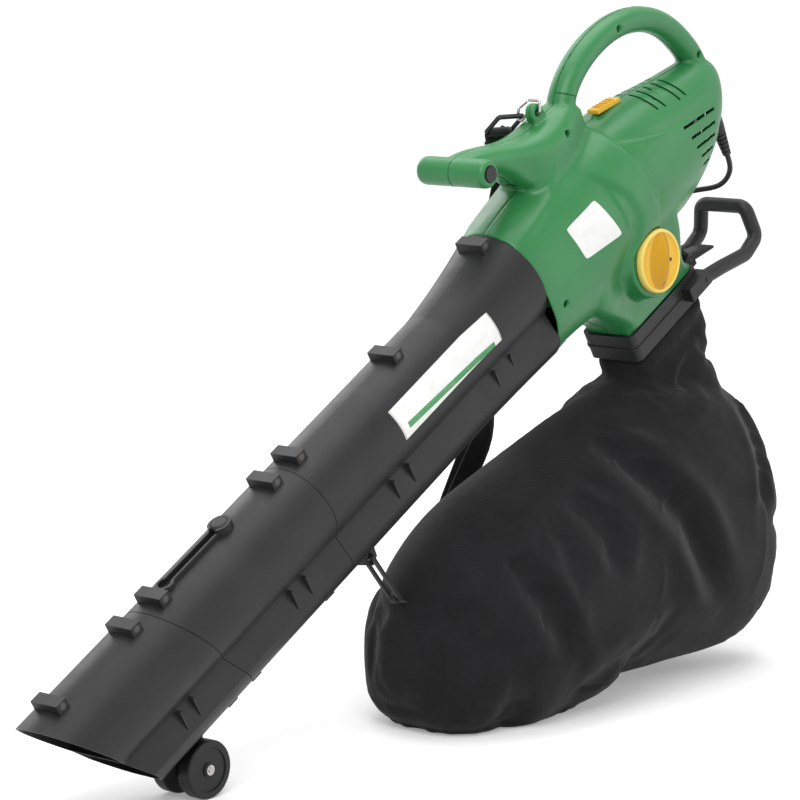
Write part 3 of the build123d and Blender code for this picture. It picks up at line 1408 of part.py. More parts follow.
def cord_route():
    """Points of the cord's route from the strain relief's tip, in standing axes."""
    turn = math.radians(LEAN)
    x = GLAND_U * math.cos(turn) - GLAND_TIP * math.sin(turn)
    z = GLAND_U * math.sin(turn) + GLAND_TIP * math.cos(turn)
    route = [Vector(x, GLAND_OFFSET, z)]
    for dx, dy, dz, length in CORD_RUNS:
        step = Vector(dx, dy, dz).normalized() * length
        route.append(route[-1] + step)
    return route


def cord_radii(route):
    """Arc radius at each inner point of the route."""
    radii = []
    for k in range(1, len(route) - 1):
        first, second = route[k] - route[k - 1], route[k + 1] - route[k]
        half_turn = math.radians(first.get_angle(second)) / 2
        radii.append(0.45 * min(first.length, second.length) / math.tan(half_turn))
    return radii


def mains_cord():
    """Power cord tube."""
    route = cord_route()
    radii = cord_radii(route)
    path = FilletPolyline(*route, radius=radii)
    cord = sweep(Plane(origin=path @ 0, z_dir=path % 0) * Circle(CORD_RADIUS), path)
    print("cord radii", [round(radius, 1) for radius in radii], "length", round(path.length, 1))
    print("cord volume share", round(cord.volume / (math.pi * CORD_RADIUS ** 2 * path.length), 4))
    return cord


def plug_plane():
    """Plane at the cord's end, facing along its last run."""
    route = cord_route()
    return Plane(origin=route[-1], x_dir=(1, 0, 0), z_dir=route[-1] - route[-2])


def mains_plug():
    """Moulded two-pin plug body."""
    plane = plug_plane()
    low = Circle(CORD_RADIUS + 1.7)
    middle = Pos(0, 0, PLUG_LENGTH * 0.45) * RectangleRounded(30, 12, 5)
    top = Pos(0, 0, PLUG_LENGTH) * RectangleRounded(35, 14, 6)
    body = loft([plane * low, plane * middle, plane * top])
    return body


def plug_pins():
    """Two round contact pins."""
    pins = []
    for sign in (-1, 1):
        centre = (sign * PLUG_PIN_GAP / 2, 0, PLUG_LENGTH + PLUG_PIN_LENGTH / 2)
        pins.append(plug_plane() * Pos(*centre) * Cylinder(PLUG_PIN_RADIUS, PLUG_PIN_LENGTH))
    return pins


# ================================================================ build
def tool_nodes():
    """Every node that is laid out in the tool axes."""
    shells = {"nozzle_tube": nozzle_tube(), "middle_tube": middle_tube(), "upper_tube": upper_tube(),
              "housing": housing()}
    nodes = {}
    for name, shape in shells.items():
        nodes[name + "_left"], nodes[name + "_right"] = halves(shape)
    nodes["housing_screws"] = Compound(children=housing_screws())
    nodes["tube_screws"] = Compound(children=tube_screws())
    nodes["grip_end_caps"] = Compound(children=grip_end_caps())
    nodes["wheel_axle"] = wheel_axle()
    nodes["axle_clips"] = Compound(children=axle_clips())
    nodes["wheel_left"] = wheel(-1)
    nodes["wheel_right"] = wheel(1)
    nodes["catch_button"] = catch_button()
    nodes["catch_spring"] = catch_spring()
    nodes["tube_label"] = tube_label()
    nodes["rating_plate"] = rating_plate()
    nodes["intake_duct"] = intake_duct()
    nodes["fan_diaphragm"] = diaphragm()
    nodes["front_bearing"] = bearing(FRONT_BEARING)
    nodes["rear_bearing"] = bearing(REAR_BEARING)
    nodes["motor_stator"] = motor_stator()
    nodes["motor_bolts"] = Compound(children=motor_bolts())
    nodes["motor_bracket"] = rear_bracket()
    nodes["brush_holders"] = Compound(children=brush_holders())
    nodes["carbon_brushes"] = Compound(children=carbon_brushes())
    nodes["motor_shaft"] = motor_shaft()
    nodes["rotor_core"] = rotor_core()
    nodes["commutator"] = commutator()
    nodes["impeller"] = impeller()
    nodes["shredder_blade"] = shredder_blade()
    nodes["impeller_nut"] = impeller_nut()
    nodes["cooling_fan"] = cooling_fan()
    nodes["switch_module"] = switch_module()
    nodes["slide_switch"] = slide_switch()
    nodes["selector_knob"] = selector_knob()
    nodes["selector_shaft"] = selector_shaft()
    nodes["diverter_flap"] = diverter_flap()
    nodes["bag_frame"] = bag_frame()
    nodes["bag_latch"] = bag_latch()
    nodes["latch_pin"] = latch_pin()
    nodes["bag_neck_band"] = bag_neck_band()
    nodes["strain_relief"] = strain_relief()
    return nodes


def standing_nodes():
    """Every node that is laid out in the standing axes."""
    return {
        "bag": bag(),
        "bag_hook": bag_hook(),
        "shoulder_strap": shoulder_strap(),
        "strap_ring": strap_ring(),
        "snap_hook": snap_hook(),
        "snap_gate": snap_gate(),
        "mains_cord": mains_cord(),
        "mains_plug": mains_plug(),
        "plug_pins": Compound(children=plug_pins()),
    }


CORD_NODES = ("mains_cord", "mains_plug", "plug_pins")


def build():
    """Every node in the part's frame, with its origin at the bottom centre of the bounding box."""
    nodes = {name: leaned(shape) for name, shape in tool_nodes().items()}
    nodes.update(standing_nodes())
    lows, highs = [], []
    for name, shape in nodes.items():
        if name not in CORD_NODES:
            bounds = shape.bounding_box()
            lows.append(bounds.min)
            highs.append(bounds.max)
    middle_x = (min(low.X for low in lows) + max(high.X for high in highs)) / 2
    middle_y = (min(low.Y for low in lows) + max(high.Y for high in highs)) / 2
    floor = min(low.Z for low in lows)
    print("shift of the origin", round(middle_x, 3), round(middle_y, 3), round(floor, 3))
    shift = Pos(-middle_x, -middle_y, -floor)
    return {name: shape.moved(shift) for name, shape in nodes.items()}


os.makedirs("parts", exist_ok=True)
for node_name, node_shape in build().items():
    export_step(node_shape, f"parts/{node_name}.step")
    print(node_name, node_shape.is_valid, len(node_shape.solids()), round(node_shape.volume / 1000, 2))
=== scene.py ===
"""Looks of the wheeled garden blower and vacuum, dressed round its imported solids.

Every piece is in metres, in the row frame of the solids: the nozzle points to -X, the side
that carries the mode dial looks to -Y, and the floor is Z = 0.
"""

import json
import logging
import math
from collections.abc import Callable, Iterator
from contextlib import contextmanager
from dataclasses import dataclass, field
from enum import Enum
from typing import Protocol

import bpy
import numpy as np
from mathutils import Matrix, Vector
from mathutils.bvhtree import BVHTree

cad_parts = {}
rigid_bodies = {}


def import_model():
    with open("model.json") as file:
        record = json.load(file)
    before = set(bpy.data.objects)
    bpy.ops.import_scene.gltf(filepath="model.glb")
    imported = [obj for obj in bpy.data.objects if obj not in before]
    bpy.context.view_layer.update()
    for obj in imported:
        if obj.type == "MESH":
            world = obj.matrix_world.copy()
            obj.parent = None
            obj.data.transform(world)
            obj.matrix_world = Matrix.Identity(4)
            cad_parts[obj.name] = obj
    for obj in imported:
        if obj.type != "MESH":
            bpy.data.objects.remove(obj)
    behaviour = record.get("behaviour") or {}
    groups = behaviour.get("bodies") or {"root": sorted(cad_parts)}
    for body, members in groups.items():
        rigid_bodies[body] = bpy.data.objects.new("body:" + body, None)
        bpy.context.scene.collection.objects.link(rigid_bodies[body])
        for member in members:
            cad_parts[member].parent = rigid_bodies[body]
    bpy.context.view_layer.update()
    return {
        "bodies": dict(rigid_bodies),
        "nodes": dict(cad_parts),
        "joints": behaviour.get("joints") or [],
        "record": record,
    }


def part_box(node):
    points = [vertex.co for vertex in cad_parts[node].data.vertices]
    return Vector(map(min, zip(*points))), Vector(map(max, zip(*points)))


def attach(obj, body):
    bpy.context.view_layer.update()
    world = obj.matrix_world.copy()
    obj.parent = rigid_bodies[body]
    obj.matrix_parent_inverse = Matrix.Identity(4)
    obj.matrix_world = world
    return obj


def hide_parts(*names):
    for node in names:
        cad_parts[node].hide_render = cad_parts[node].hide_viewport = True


Tree, Node, Socket = bpy.types.NodeTree, bpy.types.Node, bpy.types.NodeSocket
Piece = bpy.types.Object
Solids = dict[str, bpy.types.Object]
Pairs = tuple[tuple[float, float], ...]
Triples = tuple[tuple[float, float, float], ...]
Row = tuple[Vector, Vector, Vector]    # a place and two directions there
Face = tuple[int, ...]
Colour = tuple[float, float, float, float]   # linear red, green, blue and alpha

LOG = logging.getLogger("blower")
LEAN = math.radians(31.0)              # slope of the tube above the floor
SHIFT = Vector((0.362645, 0.018419, 0.0))   # from the wheel's foot to the row frame's zero
MM = 0.001
SAME_CORNER = 0.00002                  # corners of a solid's faces this near are one
WAVE_STEP = 0.314                      # spacing of a wave texture's bands at scale 1
MOULDED_EDGE = math.radians(38.0)      # a shell's edges sharper than this stay sharp
LATCH_VOXEL = 0.8                      # size of the grid that the latch is rounded on
LATCH_ROUNDING = 14                    # and how often it is evened out
X_AXIS, Y_AXIS, Z_AXIS = Vector((1.0, 0.0, 0.0)), Vector((0.0, 1.0, 0.0)), Vector((0.0, 0.0, 1.0))
TO_TOOL = np.array([[math.cos(LEAN), 0.0, math.sin(LEAN)], [0.0, 1.0, 0.0],
                    [-math.sin(LEAN), 0.0, math.cos(LEAN)]])


class Body(str, Enum):
    """The moving bodies that a piece can ride on."""

    MACHINE = "machine"
    SELECTOR = "selector"
    LATCH = "latch_lever"


def tool(u: float, y: float, w: float) -> Vector:
    """A point given in the leaning tool's millimetres, as a point of the row frame.

    Args:
        u: Distance along the suction tube, from the mouth to the motor.
        y: Distance across the machine.
        w: Height square to the tube.

    Returns:
        The point in metres.
    """
    x = u * math.cos(LEAN) - w * math.sin(LEAN)
    z = u * math.sin(LEAN) + w * math.cos(LEAN)
    return Vector((x, y, z)) * MM - SHIFT


def standing(x: float, y: float, z: float) -> Vector:
    """A point given in millimetres from the wheel's foot, as a point of the row frame."""
    return Vector((x, y, z)) * MM - SHIFT


def linear(colour: str) -> Colour:
    """An sRGB hex colour as linear red, green, blue and alpha.

    Args:
        colour: Six hex digits after a hash sign.

    Returns:
        The four linear values.
    """
    values = []
    for k in (1, 3, 5):
        c = int(colour[k:k + 2], 16) / 255
        values.append(c / 12.92 if c <= 0.04045 else ((c + 0.055) / 1.055) ** 2.4)
    return values[0], values[1], values[2], 1.0


def feed(tree: Tree, node: Node, inputs: dict) -> None:
    """Sets or links a node's inputs.

    Args:
        tree: The node tree.
        node: The node.
        inputs: Socket name or index to a value, or to the socket that feeds it.
    """
    for name, value in inputs.items():
        if isinstance(value, Socket):
            tree.links.new(value, node.inputs[name])
        else:
            node.inputs[name].default_value = value


def add_node(tree: Tree, kind: str, settings: dict | None = None,
             inputs: dict | None = None) -> Node:
    """Adds a node with its settings, values and links.

    Args:
        tree: The node tree.
        kind: The node's type name.
        settings: Properties of the node itself.
        inputs: What its sockets get, as feed takes it.

    Returns:
        The new node.
    """
    node = tree.nodes.new(kind)
    for name, value in (settings or {}).items():
        setattr(node, name, value)
    feed(tree, node, inputs or {})
    return node


def blank_material(name: str) -> tuple[bpy.types.Material, Tree, Node]:
    """A material with only a shader joined to its output.

    Args:
        name: The material's name.

    Returns:
        The material, its node tree and the shader node.
    """
    material = bpy.data.materials.new(name)
    material.use_nodes = True
    tree = material.node_tree
    tree.nodes.clear()
    shader = add_node(tree, "ShaderNodeBsdfPrincipled")
    add_node(tree, "ShaderNodeOutputMaterial", inputs={"Surface": shader.outputs["BSDF"]})
    return material, tree, shader


def object_point(tree: Tree) -> Socket:
    """The socket that gives each point's place on its object."""
    return add_node(tree, "ShaderNodeTexCoord").outputs["Object"]


def noise(tree: Tree, size: float, detail: float, rough: float = 0.5) -> Socket:
    """Noise whose lumps are about one size across.

    Args:
        tree: The node tree.
        size: Width of a lump in millimetres.
        detail: Layers of finer noise.
        rough: Strength of the finer layers.

    Returns:
        The noise's value.
    """
    return add_node(tree, "ShaderNodeTexNoise", inputs={
        "Vector": object_point(tree), "Scale": 1 / (size * MM), "Detail": detail,
        "Roughness": rough}).outputs[0]


def spread(tree: Tree, value: Socket, low: float, high: float,
           to_low: float, to_high: float) -> Socket:
    """Maps a value from one range to another and clips it there."""
    node = add_node(tree, "ShaderNodeMapRange", inputs={
        "Value": value, "From Min": low, "From Max": high, "To Min": to_low,
        "To Max": to_high})
    return node.outputs["Result"]


def mottled(tree: Tree, size: float, detail: float, rough: float,
            made: tuple[float, float], seen: tuple[float, float] = (0.3, 0.7)) -> Socket:
    """Noise brought from the range it is seen in to the range that is wanted.

    Args:
        tree: The node tree.
        size: Width of a lump in millimetres.
        detail: Layers of finer noise.
        rough: Strength of the finer layers.
        made: The wanted range.
        seen: The noise's own range.

    Returns:
        The value.
    """
    return spread(tree, noise(tree, size, detail, rough), *seen, *made)


def calculated(tree: Tree, operation: str, *values: Socket | float) -> Socket:
    """The result of one maths node on values or sockets."""
    return add_node(tree, "ShaderNodeMath", {"operation": operation},
                    dict(enumerate(values))).outputs[0]


def embossed(tree: Tree, height: Socket, strength: float, rise: float) -> Socket:
    """The normal of a surface that rises by so many millimetres where a height does."""
    return add_node(tree, "ShaderNodeBump", inputs={
        "Height": height, "Strength": strength, "Distance": rise * MM}).outputs[0]


def blend_colours(tree: Tree, share: Socket | float, first: Colour | Socket,
                  second: Colour | Socket) -> Socket:
    """Mixes two colours, each given as a linear colour or a socket."""
    return add_node(tree, "ShaderNodeMix", {"data_type": "RGBA"},
                    {0: share, 6: first, 7: second}).outputs[2]


class Finish(Protocol):
    """What every finish offers: a name and the material itself."""

    name: str

    def build(self) -> bpy.types.Material:
        """Makes the material."""


@dataclass(frozen=True)
class MouldedPlastic:
    """Injection-moulded plastic: a spark-eroded grain and a slightly uneven tone."""

    name: str
    colour: str
    deep: str
    roughness: float
    grain: float = 1.1        # the real grain is near 0.2 mm, too fine to show
    bump: float = 0.05
    coat: float = 0.0
    shine: float = 0.4        # mirror strength, where 0.5 is bare plastic

    def build(self) -> bpy.types.Material:
        """Makes the material."""
        material, tree, shader = blank_material(self.name)
        tone = mottled(tree, 90, 3, 0.5, (0.0, 1.0))
        dust = mottled(tree, 2.4, 4, 0.7, (0.0, 0.35), (0.35, 0.75))
        colour = blend_colours(tree, tone, linear(self.colour), linear(self.deep))
        feed(tree, shader, {
            "Base Color": blend_colours(tree, dust, colour, linear(self.deep)),
            "Roughness": mottled(tree, 28, 4, 0.6, (self.roughness - 0.05, self.roughness + 0.07),
                                 (0.25, 0.75)),
            "Normal": embossed(tree, noise(tree, self.grain, 2), self.bump * 4, 0.3),
            "Coat Weight": self.coat, "Specular IOR Level": self.shine})
        return material


@dataclass(frozen=True)
class BareMetal:
    """Machined or rolled metal: faint turning marks and a little oil."""

    name: str
    colour: str
    roughness: float
    mark: float = 1.4         # the turning marks are 2 pi times this far apart, for show

    def build(self) -> bpy.types.Material:
        """Makes the material."""
        material, tree, shader = blank_material(self.name)
        tone = mottled(tree, 9, 3, 0.5, (0.0, 0.4))
        marks = add_node(tree, "ShaderNodeTexWave", {"wave_type": "RINGS"}, {
            "Vector": object_point(tree), "Scale": 1 / (self.mark * MM) / 20,
            "Distortion": 2.0})
        feed(tree, shader, {
            "Base Color": blend_colours(tree, tone, linear(self.colour), linear("#4A4642")),
            "Roughness": mottled(tree, 5, 4, 0.5, (self.roughness - 0.08, self.roughness + 0.12)),
            "Normal": embossed(tree, marks.outputs[1], 0.15, 0.2), "Metallic": 1.0})
        return material


@dataclass(frozen=True)
class WovenCloth:
    """Woven polyester: two crossed sets of threads, with a dull sheen on the folds."""

    name: str
    colour: str
    worn: str
    thread: float             # thread spacing in millimetres, drawn coarse enough to show
    roughness: float = 0.82
    sheen: float = 0.25
    turn: tuple[float, float, float] = (0.35, 0.2, 0.5)

    def build(self) -> bpy.types.Material:
        """Makes the material."""
        material, tree, shader = blank_material(self.name)
        point = object_point(tree)
        threads = []
        for k in range(2):
            turned = add_node(tree, "ShaderNodeMapping", inputs={
                "Vector": point,
                "Rotation": (self.turn[0], self.turn[1] + k * math.pi / 2, self.turn[2])})
            wave = add_node(tree, "ShaderNodeTexWave", {"bands_direction": "X"}, {
                "Vector": turned.outputs[0], "Scale": WAVE_STEP / (self.thread * MM),
                "Distortion": 0.4, "Detail": 1.0})
            threads.append(wave.outputs[1])
        weave = calculated(tree, "MAXIMUM", *threads)
        fade = mottled(tree, 60, 4, 0.6, (0.0, 0.8), (0.3, 0.75))
        fuzz = mottled(tree, 1.6, 3, 0.5, (0.0, 0.5))
        colour = blend_colours(tree, fade, linear(self.colour), linear(self.worn))
        shaded = blend_colours(tree, spread(tree, weave, 0.0, 1.0, 0.35, 0.0), colour,
                               linear("#0F0F10"))
        feed(tree, shader, {
            "Base Color": blend_colours(tree, fuzz, shaded, linear(self.worn)),
            "Roughness": mottled(tree, 35, 3, 0.5, (self.roughness - 0.06, self.roughness + 0.08)),
            "Normal": embossed(tree, weave, 0.35, 0.4), "Specular IOR Level": 0.12,
            "Sheen Weight": self.sheen, "Sheen Roughness": 0.45})
        return material


@dataclass(frozen=True)
class PrintedSticker:
    """Vinyl label: a white sheet with a thin grey border and, if asked, a printed band."""

    name: str
    centre: Vector
    half: tuple[float, float]                 # half its length and height, in millimetres
    turn: float
    band: str = ""
    border: float = 2.2
    band_rise: float = 0.055                  # slope of the band across the sheet
    band_foot: float = -15.2
    band_top: float = -7.9
    band_gap: float = 12.0                    # from the band's ends to the sheet's
    soft: float = 0.3                         # width of a printed edge

    def step(self, tree: Tree, value: Socket, edge: float,
             before: float = 0.0, after: float = 1.0) -> Socket:
        """Changes from one value to another at an edge given in millimetres."""
        return spread(tree, value, edge * MM, (edge + self.soft) * MM, before, after)

    def build(self) -> bpy.types.Material:
        """Makes the material."""
        material, tree, shader = blank_material(self.name)
        moved = add_node(tree, "ShaderNodeMapping", {"vector_type": "TEXTURE"}, {
            "Vector": object_point(tree), "Location": self.centre,
            "Rotation": (0.0, -self.turn, 0.0)})
        axes = add_node(tree, "ShaderNodeSeparateXYZ", inputs={0: moved.outputs[0]}).outputs
        along = calculated(tree, "ABSOLUTE", axes[0])
        rims = [self.step(tree, along, self.half[0] - self.border),
                self.step(tree, calculated(tree, "ABSOLUTE", axes[2]), self.half[1] - self.border)]
        colour = blend_colours(tree, calculated(tree, "MAXIMUM", *rims), linear("#ECECE9"),
                               linear("#C4C6C3"))
        if self.band:
            up = calculated(tree, "MULTIPLY_ADD", axes[0], self.band_rise, axes[2])
            strip = calculated(tree, "MULTIPLY", self.step(tree, up, self.band_foot),
                               self.step(tree, up, self.band_top, 1.0, 0.0))
            short = self.step(tree, along, self.half[0] - self.band_gap, 1.0, 0.0)
            colour = blend_colours(tree, calculated(tree, "MULTIPLY", strip, short), colour,
                                   linear(self.band))
        dirt = mottled(tree, 14, 5, 0.65, (0.0, 0.3), (0.45, 0.8))
        feed(tree, shader, {
            "Base Color": blend_colours(tree, dirt, colour, linear("#B9B8B2")),
            "Roughness": mottled(tree, 8, 3, 0.5, (0.28, 0.4))})
        return material


GREEN_ABS = MouldedPlastic("Green_ABS_satin", "#2F7F47", "#28743F", 0.38, coat=0.05)
BLACK_PP = MouldedPlastic("Black_polypropylene_grained", "#2B2B2C", "#232324", 0.42, 1.5, 0.07,
                          shine=0.25)
FRAME_PP = MouldedPlastic("Black_glass_filled_nylon", "#2C2C2D", "#232324", 0.45, 1.4, 0.06,
                          shine=0.25)
INNER_PP = MouldedPlastic("Matt_inner_polypropylene", "#242426", "#1C1C1D", 0.6)
WHEEL_PP = MouldedPlastic("Black_wheel_polypropylene", "#262627", "#1E1E1F", 0.44, shine=0.25)
YELLOW_ABS = MouldedPlastic("Yellow_ABS_gloss", "#EDBC2C", "#E3AE1E", 0.36, coat=0.05)
# Darker yellow for the grip's flanks: painted shade standing for the shade on the arch's side away
# from the light.
SHADED_GRIP_ABS = MouldedPlastic("Yellow_ABS_grip_painted_shade", "#CC980F", "#C08C0A", 0.42)
DARK_PRINT = MouldedPlastic("Printed_dark_ink", "#33301F", "#28261A", 0.6)
WHITE_VINYL = MouldedPlastic("White_vinyl", "#ECECE9", "#E2E2DF", 0.34)
THREAD = MouldedPlastic("Waxed_sewing_thread", "#454549", "#353538", 0.7)
# A paler yellow for the dial's thin rim.
PALE_YELLOW = MouldedPlastic("Pale_yellow_ABS_rim", "#F3DC7E", "#EACB5E", 0.38)
CORD_PVC = MouldedPlastic("Black_PVC_cord", "#1E1E1F", "#171718", 0.5, 1.2)
CARBON = MouldedPlastic("Pressed_carbon", "#202021", "#161617", 0.7)
SCREW_STEEL = BareMetal("Blackened_screw_steel", "#5B5957", 0.38)
BRIGHT_STEEL = BareMetal("Zinc_plated_steel", "#C9C8C6", 0.26)
MOTOR_STEEL = BareMetal("Laminated_motor_steel", "#8C8A87", 0.42)
BRASS = BareMetal("Drawn_copper_alloy", "#B98A4A", 0.3)
BAG_CLOTH = WovenCloth("Woven_polyester_bag", "#191819", "#252426", 1.7, sheen=0.09)
STRAP_WEB = WovenCloth("Nylon_webbing", "#232325", "#37373A", 1.5, 0.7, 0.2)

SLOT_FINISH: dict[str, Finish] = {
    "housing_green": GREEN_ABS, "tube_black": BLACK_PP, "frame_black": FRAME_PP,
    "inner_black": INNER_PP, "wheel_black": WHEEL_PP, "knob_yellow": YELLOW_ABS,
    "screw_steel": SCREW_STEEL, "bright_steel": BRIGHT_STEEL, "motor_steel": MOTOR_STEEL,
    "brass": BRASS, "carbon": CARBON, "bag_fabric": BAG_CLOTH, "webbing": STRAP_WEB,
    "cord_rubber": CORD_PVC, "label_white": WHITE_VINYL,
}


class Paintbox:
    """Makes each finish once and hands out the same material afterwards."""

    def __init__(self) -> None:
        """Starts with nothing made."""
        self.made: dict[str, bpy.types.Material] = {}

    def of(self, finish: Finish) -> bpy.types.Material:
        """The material of one finish."""
        if finish.name not in self.made:
            self.made[finish.name] = finish.build()
        return self.made[finish.name]

    def coat(self, piece: Piece, finish: Finish) -> Piece:
        """Gives a piece one finish all over.

        Args:
            piece: The object to dress.
            finish: The finish.

        Returns:
            The same piece.
        """
        piece.data.materials.clear()
        piece.data.materials.append(self.of(finish))
        return piece


@dataclass
class Studio:
    """The pale floor, the lamps, the open sky and the camera."""

    target: Vector = field(default_factory=lambda: Vector((-0.03225, -0.01842, 0.3826)))
    eye: Vector = field(default_factory=lambda: Vector((-2.7005, -2.3790, 0.8998)))
    lens: float = 146.25
    air: float = 0.42                         # strength of the even light from all round
    near_and_far: tuple[float, float] = (0.9, 3.6)
    glow: tuple[float, float] = (0.26, 0.7)   # the floor's own light, near and far
    lamps: tuple[tuple[str, tuple[float, float, float], float, float], ...] = (
        ("key_lamp", (-1.9, -1.5, 2.6), 1.8, 62.0), ("top_lamp", (0.4, 0.2, 3.0), 2.2, 46.0),
        ("fill_lamp", (1.9, -2.2, 1.2), 2.0, 16.0), ("back_lamp", (0.6, 2.4, 1.9), 1.8, 22.0))

    def camera(self) -> None:
        """Makes the camera and aims it."""
        data = bpy.data.cameras.new("camera")
        data.lens = self.lens
        data.sensor_width = 36.0
        data.clip_end = 300.0
        bpy.context.scene.camera = self.aimed("camera", data, self.eye)

    def aimed(self, name: str, data: bpy.types.ID, place: Vector) -> Piece:
        """Places a camera or a lamp so that it looks at the object."""
        thing = bpy.data.objects.new(name, data)
        thing.location = place
        thing.rotation_euler = (self.target - place).to_track_quat("-Z", "Y").to_euler()
        bpy.context.scene.collection.objects.link(thing)
        return thing

    def lamp(self, name: str, place: Vector, size: float, power: float) -> None:
        """Adds one soft square lamp that looks at the object.

        Args:
            name: The lamp's name.
            place: Where it hangs.
            size: Side of its square.
            power: Watts.
        """
        data = bpy.data.lights.new(name, "AREA")
        data.shape = "SQUARE"
        data.size = size
        data.energy = power
        self.aimed(name, data, place)

    @staticmethod
    def looked_at(tree: Tree) -> Socket:
        """Is 1 for rays that show a background: straight, mirrored or through glass."""
        path = add_node(tree, "ShaderNodeLightPath")
        mirrored = calculated(tree, "MAXIMUM", path.outputs["Is Camera Ray"],
                              path.outputs["Is Glossy Ray"])
        return calculated(tree, "MAXIMUM", mirrored, path.outputs["Is Transmission Ray"])

    def sky(self) -> None:
        """Lights the air evenly, and shows white behind the object."""
        world = bpy.data.worlds.new("studio_air")
        bpy.context.scene.world = world
        world.use_nodes = True
        tree = world.node_tree
        tree.nodes.clear()
        seen = self.looked_at(tree)
        dim = add_node(tree, "ShaderNodeBackground", inputs={
            "Color": linear("#F4F6F8"), "Strength": self.air})
        white = add_node(tree, "ShaderNodeBackground", inputs={
            "Color": linear("#FFFFFF"), "Strength": 1.0})
        mix = add_node(tree, "ShaderNodeMixShader", inputs={
            0: seen, 1: dim.outputs[0], 2: white.outputs[0]})
        add_node(tree, "ShaderNodeOutputWorld", inputs={"Surface": mix.outputs[0]})

    def floor(self) -> None:
        """Lays a wide matt floor that reads as white and keeps the object's shadow."""
        bpy.ops.mesh.primitive_plane_add(size=160.0, location=(0.0, 0.0, 0.0))
        floor = bpy.context.object
        floor.name = "studio_floor"
        material, tree, shader = blank_material("Matt_white_paper")
        grain = mottled(tree, 40, 2, 0.5, (0.0, 0.1))
        away = add_node(tree, "ShaderNodeVectorMath", {"operation": "LENGTH"},
                        {0: object_point(tree)})
        far = spread(tree, away.outputs["Value"], *self.near_and_far, *self.glow)
        feed(tree, shader, {
            "Base Color": blend_colours(tree, grain, linear("#F4F4F3"), linear("#EEEEEC")),
            "Roughness": 0.9, "Specular IOR Level": 0.0,
            "Emission Strength": calculated(tree, "MULTIPLY", self.looked_at(tree), far),
            "Emission Color": linear("#FFFFFF")})
        floor.data.materials.append(material)

    def build(self) -> None:
        """Sets up the whole studio."""
        self.camera()
        self.sky()
        self.floor()
        for name, place, size, power in self.lamps:
            self.lamp(name, Vector(place), size, power)
        bpy.context.scene.view_settings.view_transform = "Standard"
        LOG.info("studio is set")


@dataclass
class MainsCord:
    """The short mains lead that hangs behind the motor and ends in its plug."""

    runs: tuple[tuple[float, float, float, float], ...] = (
        (0.515, 0.0, -0.857, 15.0), (0.38, 0.36, -0.85, 15.0), (0.19, 0.67, -0.72, 15.0),
        (-0.03, 0.88, -0.48, 15.0), (-0.25, 0.955, -0.16, 28.0), (-0.30, 0.92, -0.25, 40.0),
        (-0.20, 0.75, -0.62, 36.0), (-0.10, 0.42, -0.90, 40.0), (-0.03, 0.15, -0.99, 52.0),
        (0.02, 0.24, -0.97, 48.0))
    radius: float = 3.3
    gland: tuple[float, float, float] = (1100.0, -24.0, 70.0)

    def points(self) -> list[Vector]:
        """The route's corners, from the strain relief to the plug."""
        route = [tool(*self.gland)]
        for dx, dy, dz, length in self.runs:
            route.append(route[-1] + Vector((dx, dy, dz)).normalized() * length * MM)
        return route

    def build(self, paint: Paintbox, nodes: Solids) -> None:
        """Draws the lead as one smooth spline.

        Args:
            paint: The finishes.
            nodes: The solids by name; not used.
        """
        route = self.points()
        data = bpy.data.curves.new("mains_lead", "CURVE")
        data.dimensions = "3D"
        data.bevel_depth = self.radius * MM
        data.bevel_resolution = 6
        data.resolution_u = 12
        data.use_fill_caps = True
        spline = data.splines.new("NURBS")
        spline.points.add(len(route) - 1)
        for point, place in zip(spline.points, route):
            point.co = (*place, 1.0)
        spline.order_u = 3
        spline.use_endpoint_u = True
        lead = bpy.data.objects.new("mains_lead", data)
        bpy.context.scene.collection.objects.link(lead)
        paint.coat(lead, CORD_PVC)
        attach(lead, Body.MACHINE.value)
        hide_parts("mains_cord")
        LOG.info("mains lead drawn")


def only(piece: Piece) -> None:
    """Leaves one object selected and active."""
    bpy.ops.object.select_all(action="DESELECT")
    piece.select_set(True)
    bpy.context.view_layer.objects.active = piece


@contextmanager
def editing() -> Iterator[None]:
    """Opens the active object's mesh with all of it selected, and closes it afterwards."""
    bpy.ops.object.mode_set(mode="EDIT")
    bpy.ops.mesh.select_all(action="SELECT")
    yield
    bpy.ops.object.mode_set(mode="OBJECT")


def joined(pieces: list[Piece]) -> Piece:
    """Joins pieces into the first of them."""
    only(pieces[0])
    for piece in pieces:
        piece.select_set(True)
    bpy.ops.object.join()
    return pieces[0]


def linked(name: str, data: bpy.types.Mesh) -> Piece:
    """Puts data in the scene as a new object, alone in the selection."""
    piece = bpy.data.objects.new(name, data)
    bpy.context.scene.collection.objects.link(piece)
    only(piece)
    return piece


def meshed(name: str, points: list[Vector], edges: list[tuple[int, int]],
           faces: list[Face]) -> Piece:
    """Makes a new object from points, edges and faces.

    Args:
        name: Its name.
        points: Its points in the row frame.
        edges: Loose edges, if any.
        faces: Faces, if any.

    Returns:
        The object.
    """
    data = bpy.data.meshes.new(name)
    data.from_pydata(points, edges, faces)
    return linked(name, data)


def swept(rings: list[list[Vector]], closed: bool = False) -> tuple[list[Vector], list[Face]]:
    """Joins rings of points to one closed surface.

    Args:
        rings: Rings with the same number of points.
        closed: Whether the last ring leads back to the first; if not, both ends get a lid.

    Returns:
        Its points and faces.
    """
    size, count = len(rings[0]), len(rings)
    faces = []
    for n in range(count if closed else count - 1):
        m = (n + 1) % count
        faces += [(n * size + k, n * size + (k + 1) % size, m * size + (k + 1) % size,
                   m * size + k) for k in range(size)]
    if not closed:
        faces.append(tuple(range(size)))
        faces.append(tuple(range(count * size - 1, (count - 1) * size - 1, -1)))
    return [point for ring in rings for point in ring], faces


def assembled(name: str, parts: list[tuple[list[Vector], list[Face]]]) -> Piece:
    """Makes one piece of several closed surfaces, with its faces outwards."""
    points, faces = [], []
    for some, loops in parts:
        faces += [tuple(k + len(points) for k in loop) for loop in loops]
        points += some
    piece = meshed(name, points, [], faces)
    face_outwards(piece)
    return piece


